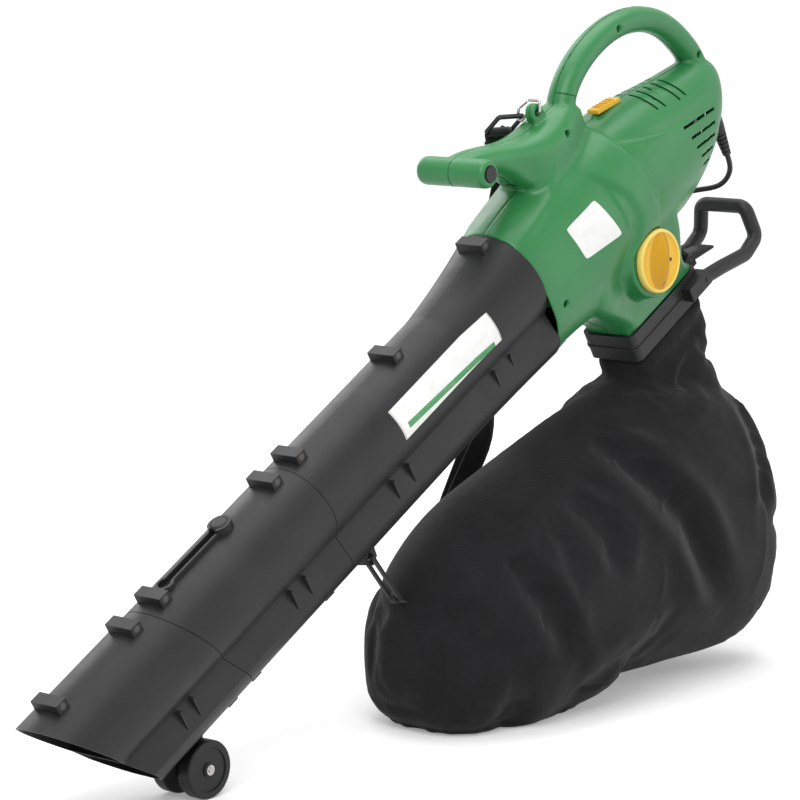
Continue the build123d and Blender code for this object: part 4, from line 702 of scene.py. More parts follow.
def smooth_line(rows: list[tuple[float, ...]], closed: bool) -> list[tuple[float, ...]]:
    """Passes a smooth line through rows of numbers, four steps from each to the next.

    Args:
        rows: The rows, such as points.
        closed: Whether the last leads back to the first.

    Returns:
        More rows.
    """
    count, found = len(rows), []
    for k in range(count if closed else count - 1):
        picks = [(k + j) % count if closed else min(max(k + j, 0), count - 1)
                 for j in (-1, 0, 1, 2)]
        a, b, c, d = (rows[p] for p in picks)
        for t in (0.0, 0.25, 0.5, 0.75):
            found.append(tuple(
                0.5 * (2 * q + (r - p) * t + (2 * p - 5 * q + 4 * r - e) * t * t
                       + (3 * q - p - 3 * r + e) * t * t * t)
                for p, q, r, e in zip(a, b, c, d)))
    return found if closed else [*found, tuple(rows[-1])]


def solid_copy(nodes: Solids, name: str, source: str) -> Piece:
    """Copies a solid into a new piece with merged corners.

    Args:
        nodes: The solids by name.
        name: The new piece's name.
        source: Name of the solid to copy.

    Returns:
        The piece, riding on nothing yet.
    """
    piece = linked(name, nodes[source].data.copy())
    with editing():
        bpy.ops.mesh.customdata_custom_splitnormals_clear()
        bpy.ops.mesh.remove_doubles(threshold=SAME_CORNER)
    return piece


def modify(piece: Piece, kind: str, **settings: object) -> None:
    """Adds one modifier to a piece and applies it.

    Args:
        piece: The object.
        kind: The modifier's type.
        settings: Its properties.
    """
    only(piece)
    modifier = piece.modifiers.new(kind.lower(), kind)
    for name, value in settings.items():
        setattr(modifier, name, value)
    bpy.ops.object.modifier_apply(modifier=modifier.name)


def weigh(piece: Piece, name: str, rule: Callable[[Vector], float]) -> None:
    """Gives every vertex a weight by its place.

    Args:
        piece: The object.
        name: The vertex group's name.
        rule: From a place to a weight between 0 and 1.
    """
    group = piece.vertex_groups.new(name=name)
    for vertex in piece.data.vertices:
        group.add([vertex.index], rule(vertex.co), "REPLACE")


def smooth_shade(piece: Piece) -> None:
    """Shades a piece smoothly all over."""
    only(piece)
    bpy.ops.object.shade_smooth()


def face_outwards(piece: Piece) -> None:
    """Turns every face of a closed piece outwards."""
    only(piece)
    with editing():
        bpy.ops.mesh.normals_make_consistent(inside=False)


def settle(piece: Piece, paint: Paintbox, finish: Finish, body: Body, slot: str,
           *replaced: str) -> Piece:
    """Dresses a finished piece and joins it to its body.

    Args:
        piece: The object, at the origin and in place.
        paint: The finishes.
        finish: Its finish.
        body: The body that it moves with.
        slot: The record's material slot; not used.
        replaced: Solids that it stands for.

    Returns:
        The piece.
    """
    paint.coat(piece, finish)
    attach(piece, body.value)
    if replaced:
        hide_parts(*replaced)
    LOG.info("%s: %d faces on %s", piece.name, len(piece.data.polygons), body.value)
    return piece


@dataclass(frozen=True)
class Fold:
    """One long fold of the cloth, by the line of its bottom in the X-Z plane."""

    line: Pairs                               # millimetres from the wheel's foot
    depth: float
    width: float
    side: float                               # -1 on the dial's side, 1 on the far side
    roll: float = 0.45                        # height of the rolls beside it, in depths
    roll_gap: float = 1.9                     # and their distance, in widths

    def push(self, x: float, z: float) -> float:
        """How far the cloth moves inwards at a place.

        Args:
            x: Distance behind the wheel's foot.
            z: Height.

        Returns:
            Millimetres, less than zero on the rolls beside the fold.
        """
        near, along = 1e9, 0.0
        count = len(self.line) - 1
        for k in range(count):
            (ax, az), (bx, bz) = self.line[k], self.line[k + 1]
            dx, dz = bx - ax, bz - az
            t = max(0.0, min(1.0, ((x - ax) * dx + (z - az) * dz) / (dx * dx + dz * dz)))
            gap = math.hypot(x - ax - t * dx, z - az - t * dz)
            if gap < near:
                near, along = gap, (k + t) / count
        ends = min(1.0, 5 * along + 0.25, 5 * (1 - along) + 0.15)
        s = near / self.width
        roll = self.roll * math.exp(-(s - self.roll_gap) ** 2)
        return self.depth * ends * (math.exp(-s * s) - roll)


CLOTH_SETTINGS = {
    "quality": 6, "mass": 0.25, "tension_stiffness": 18, "compression_stiffness": 18,
    "shear_stiffness": 8, "bending_stiffness": 0.35, "vertex_group_mass": "held",
    "shrink_min": -0.045, "use_pressure": True, "uniform_pressure_force": 3.0,
}


@dataclass
class CollectingBag:
    """The woven bag: a sewn shell that hangs from the frame, sags and lies on the floor."""

    voxel: float = 7.0
    inset: float = 7.0
    most: float = 11.0                        # cap on how far the simulation moves a point
    frames: int = 20                          # steps of the simulation
    neck_hold: tuple[float, float] = (-62.0, 14.0)   # free below this w, held this much above
    hook_hold: tuple[float, float] = (340.0, 8.0)    # and the same forwards, to the hook
    lowest: float = 0.6
    keel: float = 60.0                        # the folds fade out this near the middle plane
    sole: float = 4.0                         # no inset below this height
    neck_square: float = 0.45                 # 1 is an ellipse and 0 a rectangle
    neck_points: int = 48
    stations: tuple[tuple[float, float, float, float], ...] = (
        (332.0, 50.0, 140.0, 34.0), (346.0, 18.0, 172.0, 60.0), (380.0, 0.0, 208.0, 90.0),
        (460.0, -4.0, 258.0, 118.0), (560.0, 2.0, 300.0, 125.0), (660.0, 18.0, 344.0, 121.0),
        (760.0, 20.0, 382.0, 120.0), (850.0, 24.0, 368.0, 116.0), (915.0, 60.0, 318.0, 98.0),
        (948.0, 122.0, 258.0, 58.0))
    neck: tuple[tuple[float, float, float, float], ...] = (
        (-37.0, 891.0, 150.0, 76.0), (-72.0, 884.0, 152.0, 100.0), (-122.0, 856.0, 150.0, 132.0),
        (-170.0, 838.0, 120.0, 120.0))
    folds: tuple[Fold, ...] = (
        Fold(((801, 384), (769, 342), (687, 312)), 10.0, 9.0, -1),
        Fold(((599, 335), (651, 257), (701, 211), (773, 100)), 19.0, 20.0, -1),
        Fold(((399, 268), (418, 218), (458, 134), (489, 81)), 13.0, 16.0, -1),
        Fold(((860, 329), (872, 265), (860, 190)), 11.0, 13.0, -1),
        Fold(((527, 251), (569, 207), (554, 166)), 9.0, 16.0, -1),
        Fold(((500, 30), (584, 59), (671, 48)), 14.0, 20.0, -1),
        Fold(((640, 330), (590, 250), (520, 170), (500, 90)), 11.0, 20.0, 1),
        Fold(((790, 350), (830, 250), (800, 120)), 10.0, 18.0, 1),
        Fold(((420, 260), (400, 180), (430, 90)), 7.0, 18.0, 1),
    )

    def section(self, x: float, low: float, high: float, half: float) -> list[Vector]:
        """One rounded cross-section of the body, as points of the row frame.

        Args:
            x: Distance behind the wheel's foot.
            low: Its lowest height.
            high: Its highest height.
            half: Half its width.

        Returns:
            The points, once round.
        """
        tall = high - low
        right = [(half * 0.60, high - tall * 0.10), (half * 0.93, high - tall * 0.34),
                 (half, low + tall * 0.42), (half * 0.93, low + tall * 0.14),
                 (half * 0.60, low + tall * 0.015)]
        loop = [(0.0, high), *right, (0.0, low), *[(-y, z) for y, z in reversed(right)]]
        return [standing(x, y, max(z, 0.0)) for y, z in smooth_line(loop, True)]

    def neck_section(self, w: float, u: float, length: float, width: float) -> list[Vector]:
        """One rounded rectangle of the neck, in the leaning tool's axes."""
        points = []
        for k in range(self.neck_points):
            turn = 2 * math.pi * k / self.neck_points
            c, s = math.cos(turn), math.sin(turn)
            points.append(tool(u + length / 2 * math.copysign(abs(c) ** self.neck_square, c),
                               width / 2 * math.copysign(abs(s) ** self.neck_square, s), w))
        return points

    @staticmethod
    def skinned(name: str, rings: list[list[Vector]]) -> Piece:
        """Joins rings of points by bridging them, and closes both ends.

        Args:
            name: The piece's name.
            rings: Rings with the same number of points.

        Returns:
            The closed piece.
        """
        count = len(rings[0])
        edges = [(n * count + k, n * count + (k + 1) % count)
                 for n in range(len(rings)) for k in range(count)]
        piece = meshed(name, [p for ring in rings for p in ring], edges, [])
        with editing():
            bpy.ops.mesh.bridge_edge_loops()
            bpy.ops.mesh.select_all(action="DESELECT")
            bpy.ops.mesh.select_non_manifold()
            bpy.ops.mesh.fill_holes(sides=0)
            bpy.ops.mesh.select_all(action="SELECT")
            bpy.ops.mesh.quads_convert_to_tris()
            bpy.ops.mesh.normals_make_consistent(inside=False)
        return piece

    def shell(self) -> Piece:
        """The bag's outer skin as one closed form, its neck run into its body."""
        rows = smooth_line(list(self.stations), False)
        body = self.skinned("bag_cloth", [self.section(*row) for row in rows])
        neck = self.skinned("bag_throat", [self.neck_section(*row) for row in self.neck])
        return joined([body, neck])

    def held(self, place: Vector) -> float:
        """How firmly the cloth is held at a place: by the frame, the hook and the floor."""
        up = Vector((-math.sin(LEAN), 0.0, math.cos(LEAN)))
        height = (place + SHIFT) @ up / MM
        x = (place.x + SHIFT.x) / MM
        return max(0.0, min(1.0, max((height - self.neck_hold[0]) / self.neck_hold[1],
                                     (self.hook_hold[0] - x) / self.hook_hold[1])))

    def carve(self, piece: Piece) -> None:
        """Presses the long folds into the skin."""
        for vertex in piece.data.vertices:
            place = (vertex.co + SHIFT) / MM
            free = 1.0 - self.held(vertex.co)
            side = -1 if place.y < 0 else 1
            flat = min(1.0, abs(place.y) / self.keel)
            push = sum(f.push(place.x, place.z) for f in self.folds if f.side == side)
            vertex.co.y -= side * push * MM * free * flat
            vertex.co -= vertex.normal * self.inset * MM * free * (place.z > self.sole)

    def drape(self, piece: Piece) -> None:
        """Lets the skin fill and wrinkle as cloth, and keeps the result."""
        start = [vertex.co.copy() for vertex in piece.data.vertices]
        weigh(piece, "held", self.held)
        only(piece)
        cloth = piece.modifiers.new("cloth", "CLOTH")
        for name, value in CLOTH_SETTINGS.items():
            setattr(cloth.settings, name, value)
        cloth.settings.effector_weights.gravity = 0.0
        cloth.collision_settings.use_collision = False
        scene = bpy.context.scene
        for frame in range(1, self.frames + 1):
            scene.frame_set(frame)
        bpy.ops.object.modifier_apply(modifier=cloth.name)
        scene.frame_set(1)
        for vertex, place in zip(piece.data.vertices, start):
            move = vertex.co - place
            if move.length > self.most * MM:
                vertex.co = place + move.normalized() * self.most * MM
            vertex.co.z = max(vertex.co.z, self.lowest * MM)

    def build(self, paint: Paintbox) -> None:
        """Makes the bag.

        Args:
            paint: The finishes.
        """
        piece = self.shell()
        modify(piece, "REMESH", mode="VOXEL", voxel_size=self.voxel * MM)
        self.carve(piece)
        self.drape(piece)
        modify(piece, "SMOOTH", factor=0.5, iterations=1)
        modify(piece, "SUBSURF", levels=1, render_levels=1)
        smooth_shade(piece)
        settle(piece, paint, BAG_CLOTH, Body.MACHINE, "bag_fabric", "bag")


@dataclass
class ModeDial:
    """The yellow dial: a thin pale rim, a dished face and a broad arched grip."""

    centre: tuple[float, float] = (868.0, 78.0)
    back: float = -70.5
    rim: float = 8.0
    floor: float = 4.6
    arch: float = 18.5
    reach: float = 34.0                       # half the grip's length
    flank: float = 20.0                       # half its width in the middle
    blunt: float = 0.9                        # half the width of its crest
    hollow: float = 1.55                      # how hollow its flanks are, where 1 is straight
    dish: tuple[float, float] = (1.2, 30.0)   # the face rises this much in this radius
    kerb: tuple[float, float] = (31.0, 3.2)   # radius where it turns up to the rim, and width
    steps: int = 128
    pitch: float = 0.9                        # spacing of the rings that the face starts from
    level: float = 1.0                        # and their depth
    shade_share: float = 0.93                     # share of the grip that gets the darker yellow, as painted shade
    edge: Pairs = ((34.2, 6.0), (35.2, 5.0), (35.2, 0.0), (0.0, 0.0))
    rim_profile: Pairs = (
        (33.4, 7.0), (33.9, 7.9), (35.2, 8.4), (36.6, 8.0), (37.6, 6.6), (38.0, 4.5), (38.0, 0.6),
        (37.4, 0.0), (34.8, 0.0), (34.8, 5.5), (33.4, 7.0))
    dot: tuple[float, float, float, float] = (21.5, 0.5, 1.9, 2.3)    # its middle and radii
    arrow: Pairs = (
        (1.5, -29.6), (4.6, -26.4), (9.2, -25.2), (6.4, -28.0), (4.0, -29.9))
    ink: tuple[float, float] = (0.25, -0.4)   # the marks' front and back, from the face

    def place(self, across: float, depth: float, up: float) -> Vector:
        """A point of the dial in the row frame.

        Args:
            across: Distance towards the back of the machine.
            depth: Height above the dial's back.
            up: Distance upwards.

        Returns:
            The point.
        """
        middle = tool(self.centre[0], self.back, self.centre[1])
        return middle + Vector((across, -depth, up)) * MM

    def lens(self, across: float, up: float) -> float:
        """How far out on the grip a place is: 0 at its crest and 1 at its foot."""
        bow = 1 - (up / self.reach) ** 2
        if bow <= 0:
            return 1.0
        return min(1.0, math.hypot(across, self.blunt)
                   / (self.flank * math.sqrt(bow) + self.blunt))

    def depth(self, across: float, up: float) -> float:
        """Height of the dial's face at a place."""
        away = math.hypot(across, up)
        dish = self.floor + self.dish[0] * (away / self.dish[1]) ** 2
        slope = max(0.0, min(1.0, (away - self.kerb[0]) / self.kerb[1]))
        face = dish + (self.rim - dish) * slope * slope * (3 - 2 * slope)
        s = self.lens(across, up)
        if s >= 1:
            return face
        bow = 1 - (up / self.reach) ** 2
        crest = self.rim - 0.4 + (self.arch - self.rim) * bow
        return face + max(0.0, crest - face) * (1 - s) ** self.hollow

    def turned(self, name: str, profile: list[tuple[float, float]]) -> Piece:
        """Spins a profile round the dial's axis.

        Args:
            name: The piece's name.
            profile: Radius and depth of each point.

        Returns:
            The piece, in place.
        """
        piece = meshed(name, [self.place(r, d, 0.0) for r, d in profile],
                       [(k, k + 1) for k in range(len(profile) - 1)], [])
        with editing():
            bpy.ops.mesh.spin(steps=self.steps, angle=2 * math.pi,
                              center=self.place(0.0, 0.0, 0.0), axis=(0, 1, 0))
            bpy.ops.mesh.select_all(action="SELECT")
            bpy.ops.mesh.remove_doubles(threshold=0.00003)
            bpy.ops.mesh.normals_make_consistent(inside=False)
        return piece

    def build(self, paint: Paintbox) -> None:
        """Makes the dial, its rim and its marks.

        Args:
            paint: The finishes.
        """
        face = [(ring * self.pitch, self.level) for ring in range(38)]
        dial = self.turned("dial_face", [*face, *self.edge])
        middle = self.place(0.0, 0.0, 0.0)
        for vertex in dial.data.vertices:
            off = (vertex.co - middle) / MM
            away = math.hypot(off.x, off.z)
            if abs(-off.y - self.level) < 0.01 and away < self.reach:
                vertex.co.y = middle.y - self.depth(off.x, off.z) * MM
        modify(dial, "SUBSURF", levels=1, render_levels=1)
        smooth_shade(dial)
        settle(dial, paint, YELLOW_ABS, Body.SELECTOR, "knob_yellow", "selector_knob")
        # The grip's flanks take the darker yellow as painted shade.
        dial.data.materials.append(paint.of(SHADED_GRIP_ABS))
        for polygon in dial.data.polygons:
            off = (polygon.center - middle) / MM
            if -off.y > 3.0 and self.lens(off.x, off.z) < self.shade_share:
                polygon.material_index = 1
        rim = self.turned("dial_rim", list(self.rim_profile))
        smooth_shade(rim)
        settle(rim, paint, PALE_YELLOW, Body.SELECTOR, "knob_yellow")
        x, z, wide, tall = self.dot
        dot = [(x + wide * math.cos(k * math.pi / 12), z + tall * math.sin(k * math.pi / 12))
               for k in range(24)]
        marks = self.printed("dial_marks", dot, list(self.arrow))
        settle(marks, paint, DARK_PRINT, Body.SELECTOR, "knob_yellow")

    def printed(self, name: str, *outlines: list[tuple[float, float]]) -> Piece:
        """Thin printed marks that follow the dial's face.

        Args:
            name: The piece's name.
            outlines: Corners of each mark, across and up.

        Returns:
            The piece.
        """
        return assembled(name, [
            swept([[self.place(x, self.depth(x, z) + lift, z) for x, z in outline]
                   for lift in self.ink]) for outline in outlines])


@dataclass(frozen=True)
class Stroke:
    """A long valley or roll pressed into the shell, by its line seen from the side."""

    line: Pairs                               # u and w in the tool's millimetres
    depth: float                              # inwards; less than zero is a roll
    left: float                               # width of the slope on the line's left
    right: float                              # and on its right
    ends: tuple[float, float] = (7.0, 0.1)    # how fast it deepens, and its share at the ends

    def reach(self, u: np.ndarray, w: np.ndarray) -> np.ndarray:
        """How far each point moves inwards.

        Args:
            u: Places along the tube.
            w: Heights square to the tube.

        Returns:
            Millimetres for each point.
        """
        gap = np.full(len(u), 1e9)
        hand, along = np.zeros(len(u)), np.zeros(len(u))
        count = len(self.line) - 1
        for k in range(count):
            (au, aw), (bu, bw) = self.line[k], self.line[k + 1]
            du, dw = bu - au, bw - aw
            t = np.clip(((u - au) * du + (w - aw) * dw) / (du * du + dw * dw), 0, 1)
            near = np.hypot(u - au - t * du, w - aw - t * dw)
            nearer = near < gap
            gap = np.where(nearer, near, gap)
            hand = np.where(nearer, du * (w - aw) - dw * (u - au), hand)
            along = np.where(nearer, (k + t) / count, along)
        width = np.where(hand > 0, self.left, self.right)
        fade = np.clip(np.minimum(along, 1 - along) * self.ends[0] + self.ends[1], 0, 1)
        return self.depth * fade * np.exp(-(gap / width) ** 2)


@dataclass(frozen=True)
class Fillet:
    """A place where two forms of the shell flow into each other."""

    u: float
    y: float
    w: float
    radius: float
    core: float = 1.3                         # above 1, the middle part is wholly free

    def share(self, place: np.ndarray) -> np.ndarray:
        """Freedom of each point, from 0 outside to 1 at the middle."""
        away = np.sqrt((place[:, 0] - self.u) ** 2 + (np.abs(place[:, 1]) - self.y) ** 2
                       + (place[:, 2] - self.w) ** 2)
        return np.clip(self.core * (1 - away / self.radius), 0, 1)


@dataclass
class Housing:
    """The green shells: fillets where the forms meet, pressed valleys and cut vents."""

    voxel: float = 1.8
    strokes: tuple[Stroke, ...] = (
        Stroke(((818, 246), (832, 214), (851, 179), (856, 147), (847, 127), (826, 114),
                (814, 92), (817, 63), (838, 38), (866, 24)), 5.0, 6.0, 20.0),
        Stroke(((885, 238), (905, 190), (911, 150), (902, 118)), 1.8, 11.0, 2.4),
        Stroke(((897, 225), (962, 195), (1021, 174), (1078, 153)), 2.2, 7.0, 2.6),
        Stroke(((694, 220), (732, 224), (770, 231), (800, 244), (816, 262)), -2.6, 6.0, 5.0),
        Stroke(((700, 243), (750, 252), (785, 268)), 4.5, 13.0, 10.0),
    )
    fillets: tuple[Fillet, ...] = (
        Fillet(742, 18, 240, 22), Fillet(765, 28, 240, 26), Fillet(790, 34, 236, 30),
        Fillet(815, 40, 230, 32), Fillet(845, 40, 226, 32), Fillet(875, 36, 234, 30),
        Fillet(895, 24, 246, 28), Fillet(905, 4, 256, 20), Fillet(1108, 0, 190, 18),
        Fillet(790, 52, 100, 22), Fillet(930, 50, 104, 28), Fillet(960, 45, 80, 22),
        Fillet(738, 10, 300, 16),
    )
    # Each vent: its place along and up, and its length or only its place along.
    side_slots: Triples = (
        (1041.0, 162.0, 76.0), (1039.0, 147.0, 63.0), (1037.0, 133.0, 53.0),
        (1035.0, 119.0, 37.0), (1031.0, 107.0, 23.0))
    top_slots: tuple[float, ...] = (991.5, 1005.5, 1019.5, 1033.5, 1047.5)
    side_cut: tuple[float, float] = (57.0, 36.0)   # middle and thickness of what is cut there
    top_cut: tuple[float, float, float, float] = (23.0, 220.0, 37.0, 60.0)
    slot: float = 3.6                         # width of every vent
    slot_slope: float = math.radians(15.0)    # of the side vents, above the level
    # Each wall: its outline across and up, its start and end along the tube, and its rake.
    walls: tuple[tuple[Pairs, float, float, float], ...] = (
        (((0.4, 247.4), (20.0, 244.5), (40.0, 234.0), (56.4, 221.0), (66.0, 206.0), (73.5, 188.0),
          (78.0, 166.0), (78.0, 150.0), (62.0, 150.0), (62.0, 166.0), (58.0, 184.0),
          (50.0, 199.0), (38.0, 212.0), (22.0, 222.0), (0.4, 226.0)), 890.5, 896.6, 0.0),
        (((0.4, 276.6), (8.0, 276.0), (14.0, 273.5), (18.5, 268.0), (20.5, 261.0), (20.5, 225.0),
          (0.4, 225.0)), 885.5, 892.0, 0.0),
        (((0.4, 25.0), (30.5, 25.0), (30.5, 3.0), (0.4, 3.0)), 957.0, 960.8, -0.46))
    # Each ring of the grip: its place along and up, and its slope.
    rings: Triples = (
        (876.0, 268.0, 62.0), (883.0, 280.0, 56.0), (892.0, 290.0, 46.0), (905.0, 298.5, 35.0))
    ring_radii: tuple[float, float] = (16.6, 1.1)
    level: float = 160.0                      # w above which the wall is pressed down too
    pressed: tuple[float, float] = (14.0, 16.0)   # valleys start this far out, full this much on
    seam: float = 0.5                         # the shell keeps its edge this near the middle
    ramps: tuple[float, float] = (3.0, 8.0)   # width over which light and heavy rounding start
    rounds: tuple[int, int] = (8, 160)        # of light and of heavy rounding
    thinning: float = 0.62                    # share of the triangles that is kept

    @staticmethod
    def tool_places(piece: Piece) -> np.ndarray:
        """Every vertex in the leaning tool's millimetres."""
        found = np.zeros(len(piece.data.vertices) * 3)
        piece.data.vertices.foreach_get("co", found)
        return (found.reshape(-1, 3) + np.array(SHIFT)) / MM @ TO_TOOL.T

    def press(self, piece: Piece) -> None:
        """Moves the wall, both faces alike, along the valleys and rolls."""
        place = self.tool_places(piece)
        move = sum(s.reach(place[:, 0], place[:, 2]) for s in self.strokes)
        move = move * np.clip((np.abs(place[:, 1]) - self.pressed[0]) / self.pressed[1], 0, 1)
        lift = np.where(place[:, 2] > self.level, place[:, 2] - self.level, 0.0)
        length = np.hypot(place[:, 1], lift) + 1e-6
        place[:, 1] -= move * place[:, 1] / length
        place[:, 2] -= move * lift / length
        moved = place @ TO_TOOL * MM - np.array(SHIFT)
        piece.data.vertices.foreach_set("co", moved.ravel())
        piece.data.update()

    def soften(self, piece: Piece) -> None:
        """Evens out the whole shell a little and its fillets a lot."""
        place = self.tool_places(piece)
        out = np.abs(place[:, 1]) - self.seam
        plane = np.clip(out / self.ramps[0], 0, 1)
        light = piece.vertex_groups.new(name="light")
        heavy = piece.vertex_groups.new(name="heavy")
        strong = np.max([f.share(place) for f in self.fillets], axis=0)
        strong = strong * np.clip(out / self.ramps[1], 0, 1)
        for group, weights in ((light, plane), (heavy, strong)):
            for share in np.arange(1, 11) / 10:
                picked = np.nonzero(np.round(weights, 1) == share)[0]
                group.add(picked.tolist(), float(share), "REPLACE")
        for name, count in zip(("light", "heavy"), self.rounds):
            modify(piece, "SMOOTH", factor=0.5, iterations=count, vertex_group=name)

    @staticmethod
    def wall(outline: Pairs, start: float, end: float, rake: float, side: int) -> Piece:
        """A flat wall square to the tube's axis, to close the shell's back.

        Args:
            outline: Its corners, across and up, on the right side.
            start: Where it starts along the tube.
            end: Where it ends.
            rake: Its lean along the tube for each step up.
            side: 1 for the right shell and -1 for the left one.

        Returns:
            The wall.
        """
        points, faces = swept([[tool(u + rake * w, side * y, w) for y, w in outline]
                               for u in (start, end)])
        piece = meshed("wall", points, [], faces)
        with editing():
            bpy.ops.mesh.quads_convert_to_tris()
            bpy.ops.mesh.normals_make_consistent(inside=False)
        return piece

    def cutter(self) -> Piece:
        """The vents and the grip's rings as one object to cut with."""
        made = []
        middle, thick = self.side_cut
        slots = [(u, middle, w, (length, thick, self.slot), self.slot_slope)
                 for u, w, length in self.side_slots]
        middle, top, wide, tall = self.top_cut
        slots += [(u, middle, top, (self.slot, wide, tall), 0.0) for u in self.top_slots]
        for u, y, w, size, slope in slots:
            for side in (-1, 1):
                bpy.ops.mesh.primitive_cube_add(size=1.0, location=tool(u, side * y, w))
                bpy.context.object.scale = Vector(size) * MM
                bpy.context.object.rotation_euler.y = slope - LEAN
                made.append(bpy.context.object)
        for u, w, slope in self.rings:
            bpy.ops.mesh.primitive_torus_add(
                location=tool(u, 0.0, w), major_radius=self.ring_radii[0] * MM,
                minor_radius=self.ring_radii[1] * MM, major_segments=72, minor_segments=8)
            bpy.context.object.rotation_euler.y = math.radians(90.0 - slope) - LEAN
            made.append(bpy.context.object)
        cutter = joined(made)
        bpy.ops.object.transform_apply(location=True, rotation=True, scale=True)
        return cutter

    def build(self, paint: Paintbox, nodes: Solids) -> Piece:
        """Makes both shells.

        Args:
            paint: The finishes.
            nodes: The solids by name.

        Returns:
            The left shell.
        """
        cutter = self.cutter()
        for side in ("left", "right"):
            piece = solid_copy(nodes, f"shell_{side}", f"housing_{side}")
            hand = 1 if side == "right" else -1
            joined([piece, *(self.wall(*wall, hand) for wall in self.walls)])
            modify(piece, "REMESH", mode="VOXEL", voxel_size=self.voxel * MM)
            self.soften(piece)
            self.press(piece)
            modify(piece, "DECIMATE", ratio=self.thinning)
            modify(piece, "BOOLEAN", operation="DIFFERENCE", object=cutter, solver="FAST")
            only(piece)
            bpy.ops.object.shade_smooth_by_angle(angle=MOULDED_EDGE)
            settle(piece, paint, GREEN_ABS, Body.MACHINE, "housing_green", f"housing_{side}")
        bpy.data.objects.remove(cutter)
        return bpy.data.objects["shell_left"]


@dataclass
class RatingSticker:
    """The blank rating label, stuck on the left shell's flank."""

    corners: Pairs = ((757.0, 199.0), (813.0, 203.0), (825.0, 147.0), (762.0, 154.0))
    cells: int = 28
    corner: float = 0.16                      # share of the half width that is rounded
    thickness: float = 0.35
    lift: float = 0.05                        # its back's distance from the shell

    def outline(self, a: float, b: float) -> tuple[float, float]:
        """Moves a place of the square from -1 to 1 so that its corners are round."""
        size = max(abs(a), abs(b))
        flat = size * (1 - self.corner)
        x, y = max(-flat, min(flat, a)), max(-flat, min(flat, b))
        dx, dy = a - x, b - y
        if dx and dy:
            scale = size * self.corner / math.hypot(dx, dy)
            return x + dx * scale, y + dy * scale
        return a, b

    def build(self, paint: Paintbox, shell: Piece) -> None:
        """Lays the sheet on the shell.

        Args:
            paint: The finishes.
            shell: The left shell.
        """
        tree = BVHTree.FromObject(shell, bpy.context.evaluated_depsgraph_get())
        p, q, r, s = self.corners
        points, count = [], self.cells + 1
        for row in range(count):
            for column in range(count):
                a, b = self.outline(2 * column / self.cells - 1, 2 * row / self.cells - 1)
                f, g = (a + 1) / 2, (b + 1) / 2
                u, w = ((1 - g) * ((1 - f) * p[k] + f * q[k]) + g * ((1 - f) * s[k] + f * r[k])
                        for k in (0, 1))
                hit = tree.ray_cast(tool(u, -150.0, w), Y_AXIS)[0]
                points.append(hit - Y_AXIS * self.lift * MM)
        faces = [(n, n + 1, n + count + 1, n + count)
                 for row in range(self.cells) for n in range(row * count, row * count + count - 1)]
        piece = meshed("rating_sticker", points, [], faces)
        modify(piece, "SMOOTH", factor=0.5, iterations=3)
        if piece.data.polygons[0].normal.y > 0:
            piece.data.flip_normals()
        modify(piece, "SOLIDIFY", thickness=self.thickness * MM, offset=1.0)
        face_outwards(piece)
        bpy.ops.object.shade_smooth_by_angle(angle=MOULDED_EDGE)
        middle = sum((tool(u, 0.0, w) for u, w in self.corners), Vector()) / 4
        finish = PrintedSticker("Vinyl_rating", middle, (40.0, 40.0), LEAN)
        settle(piece, paint, finish, Body.MACHINE, "label_white", "rating_plate")


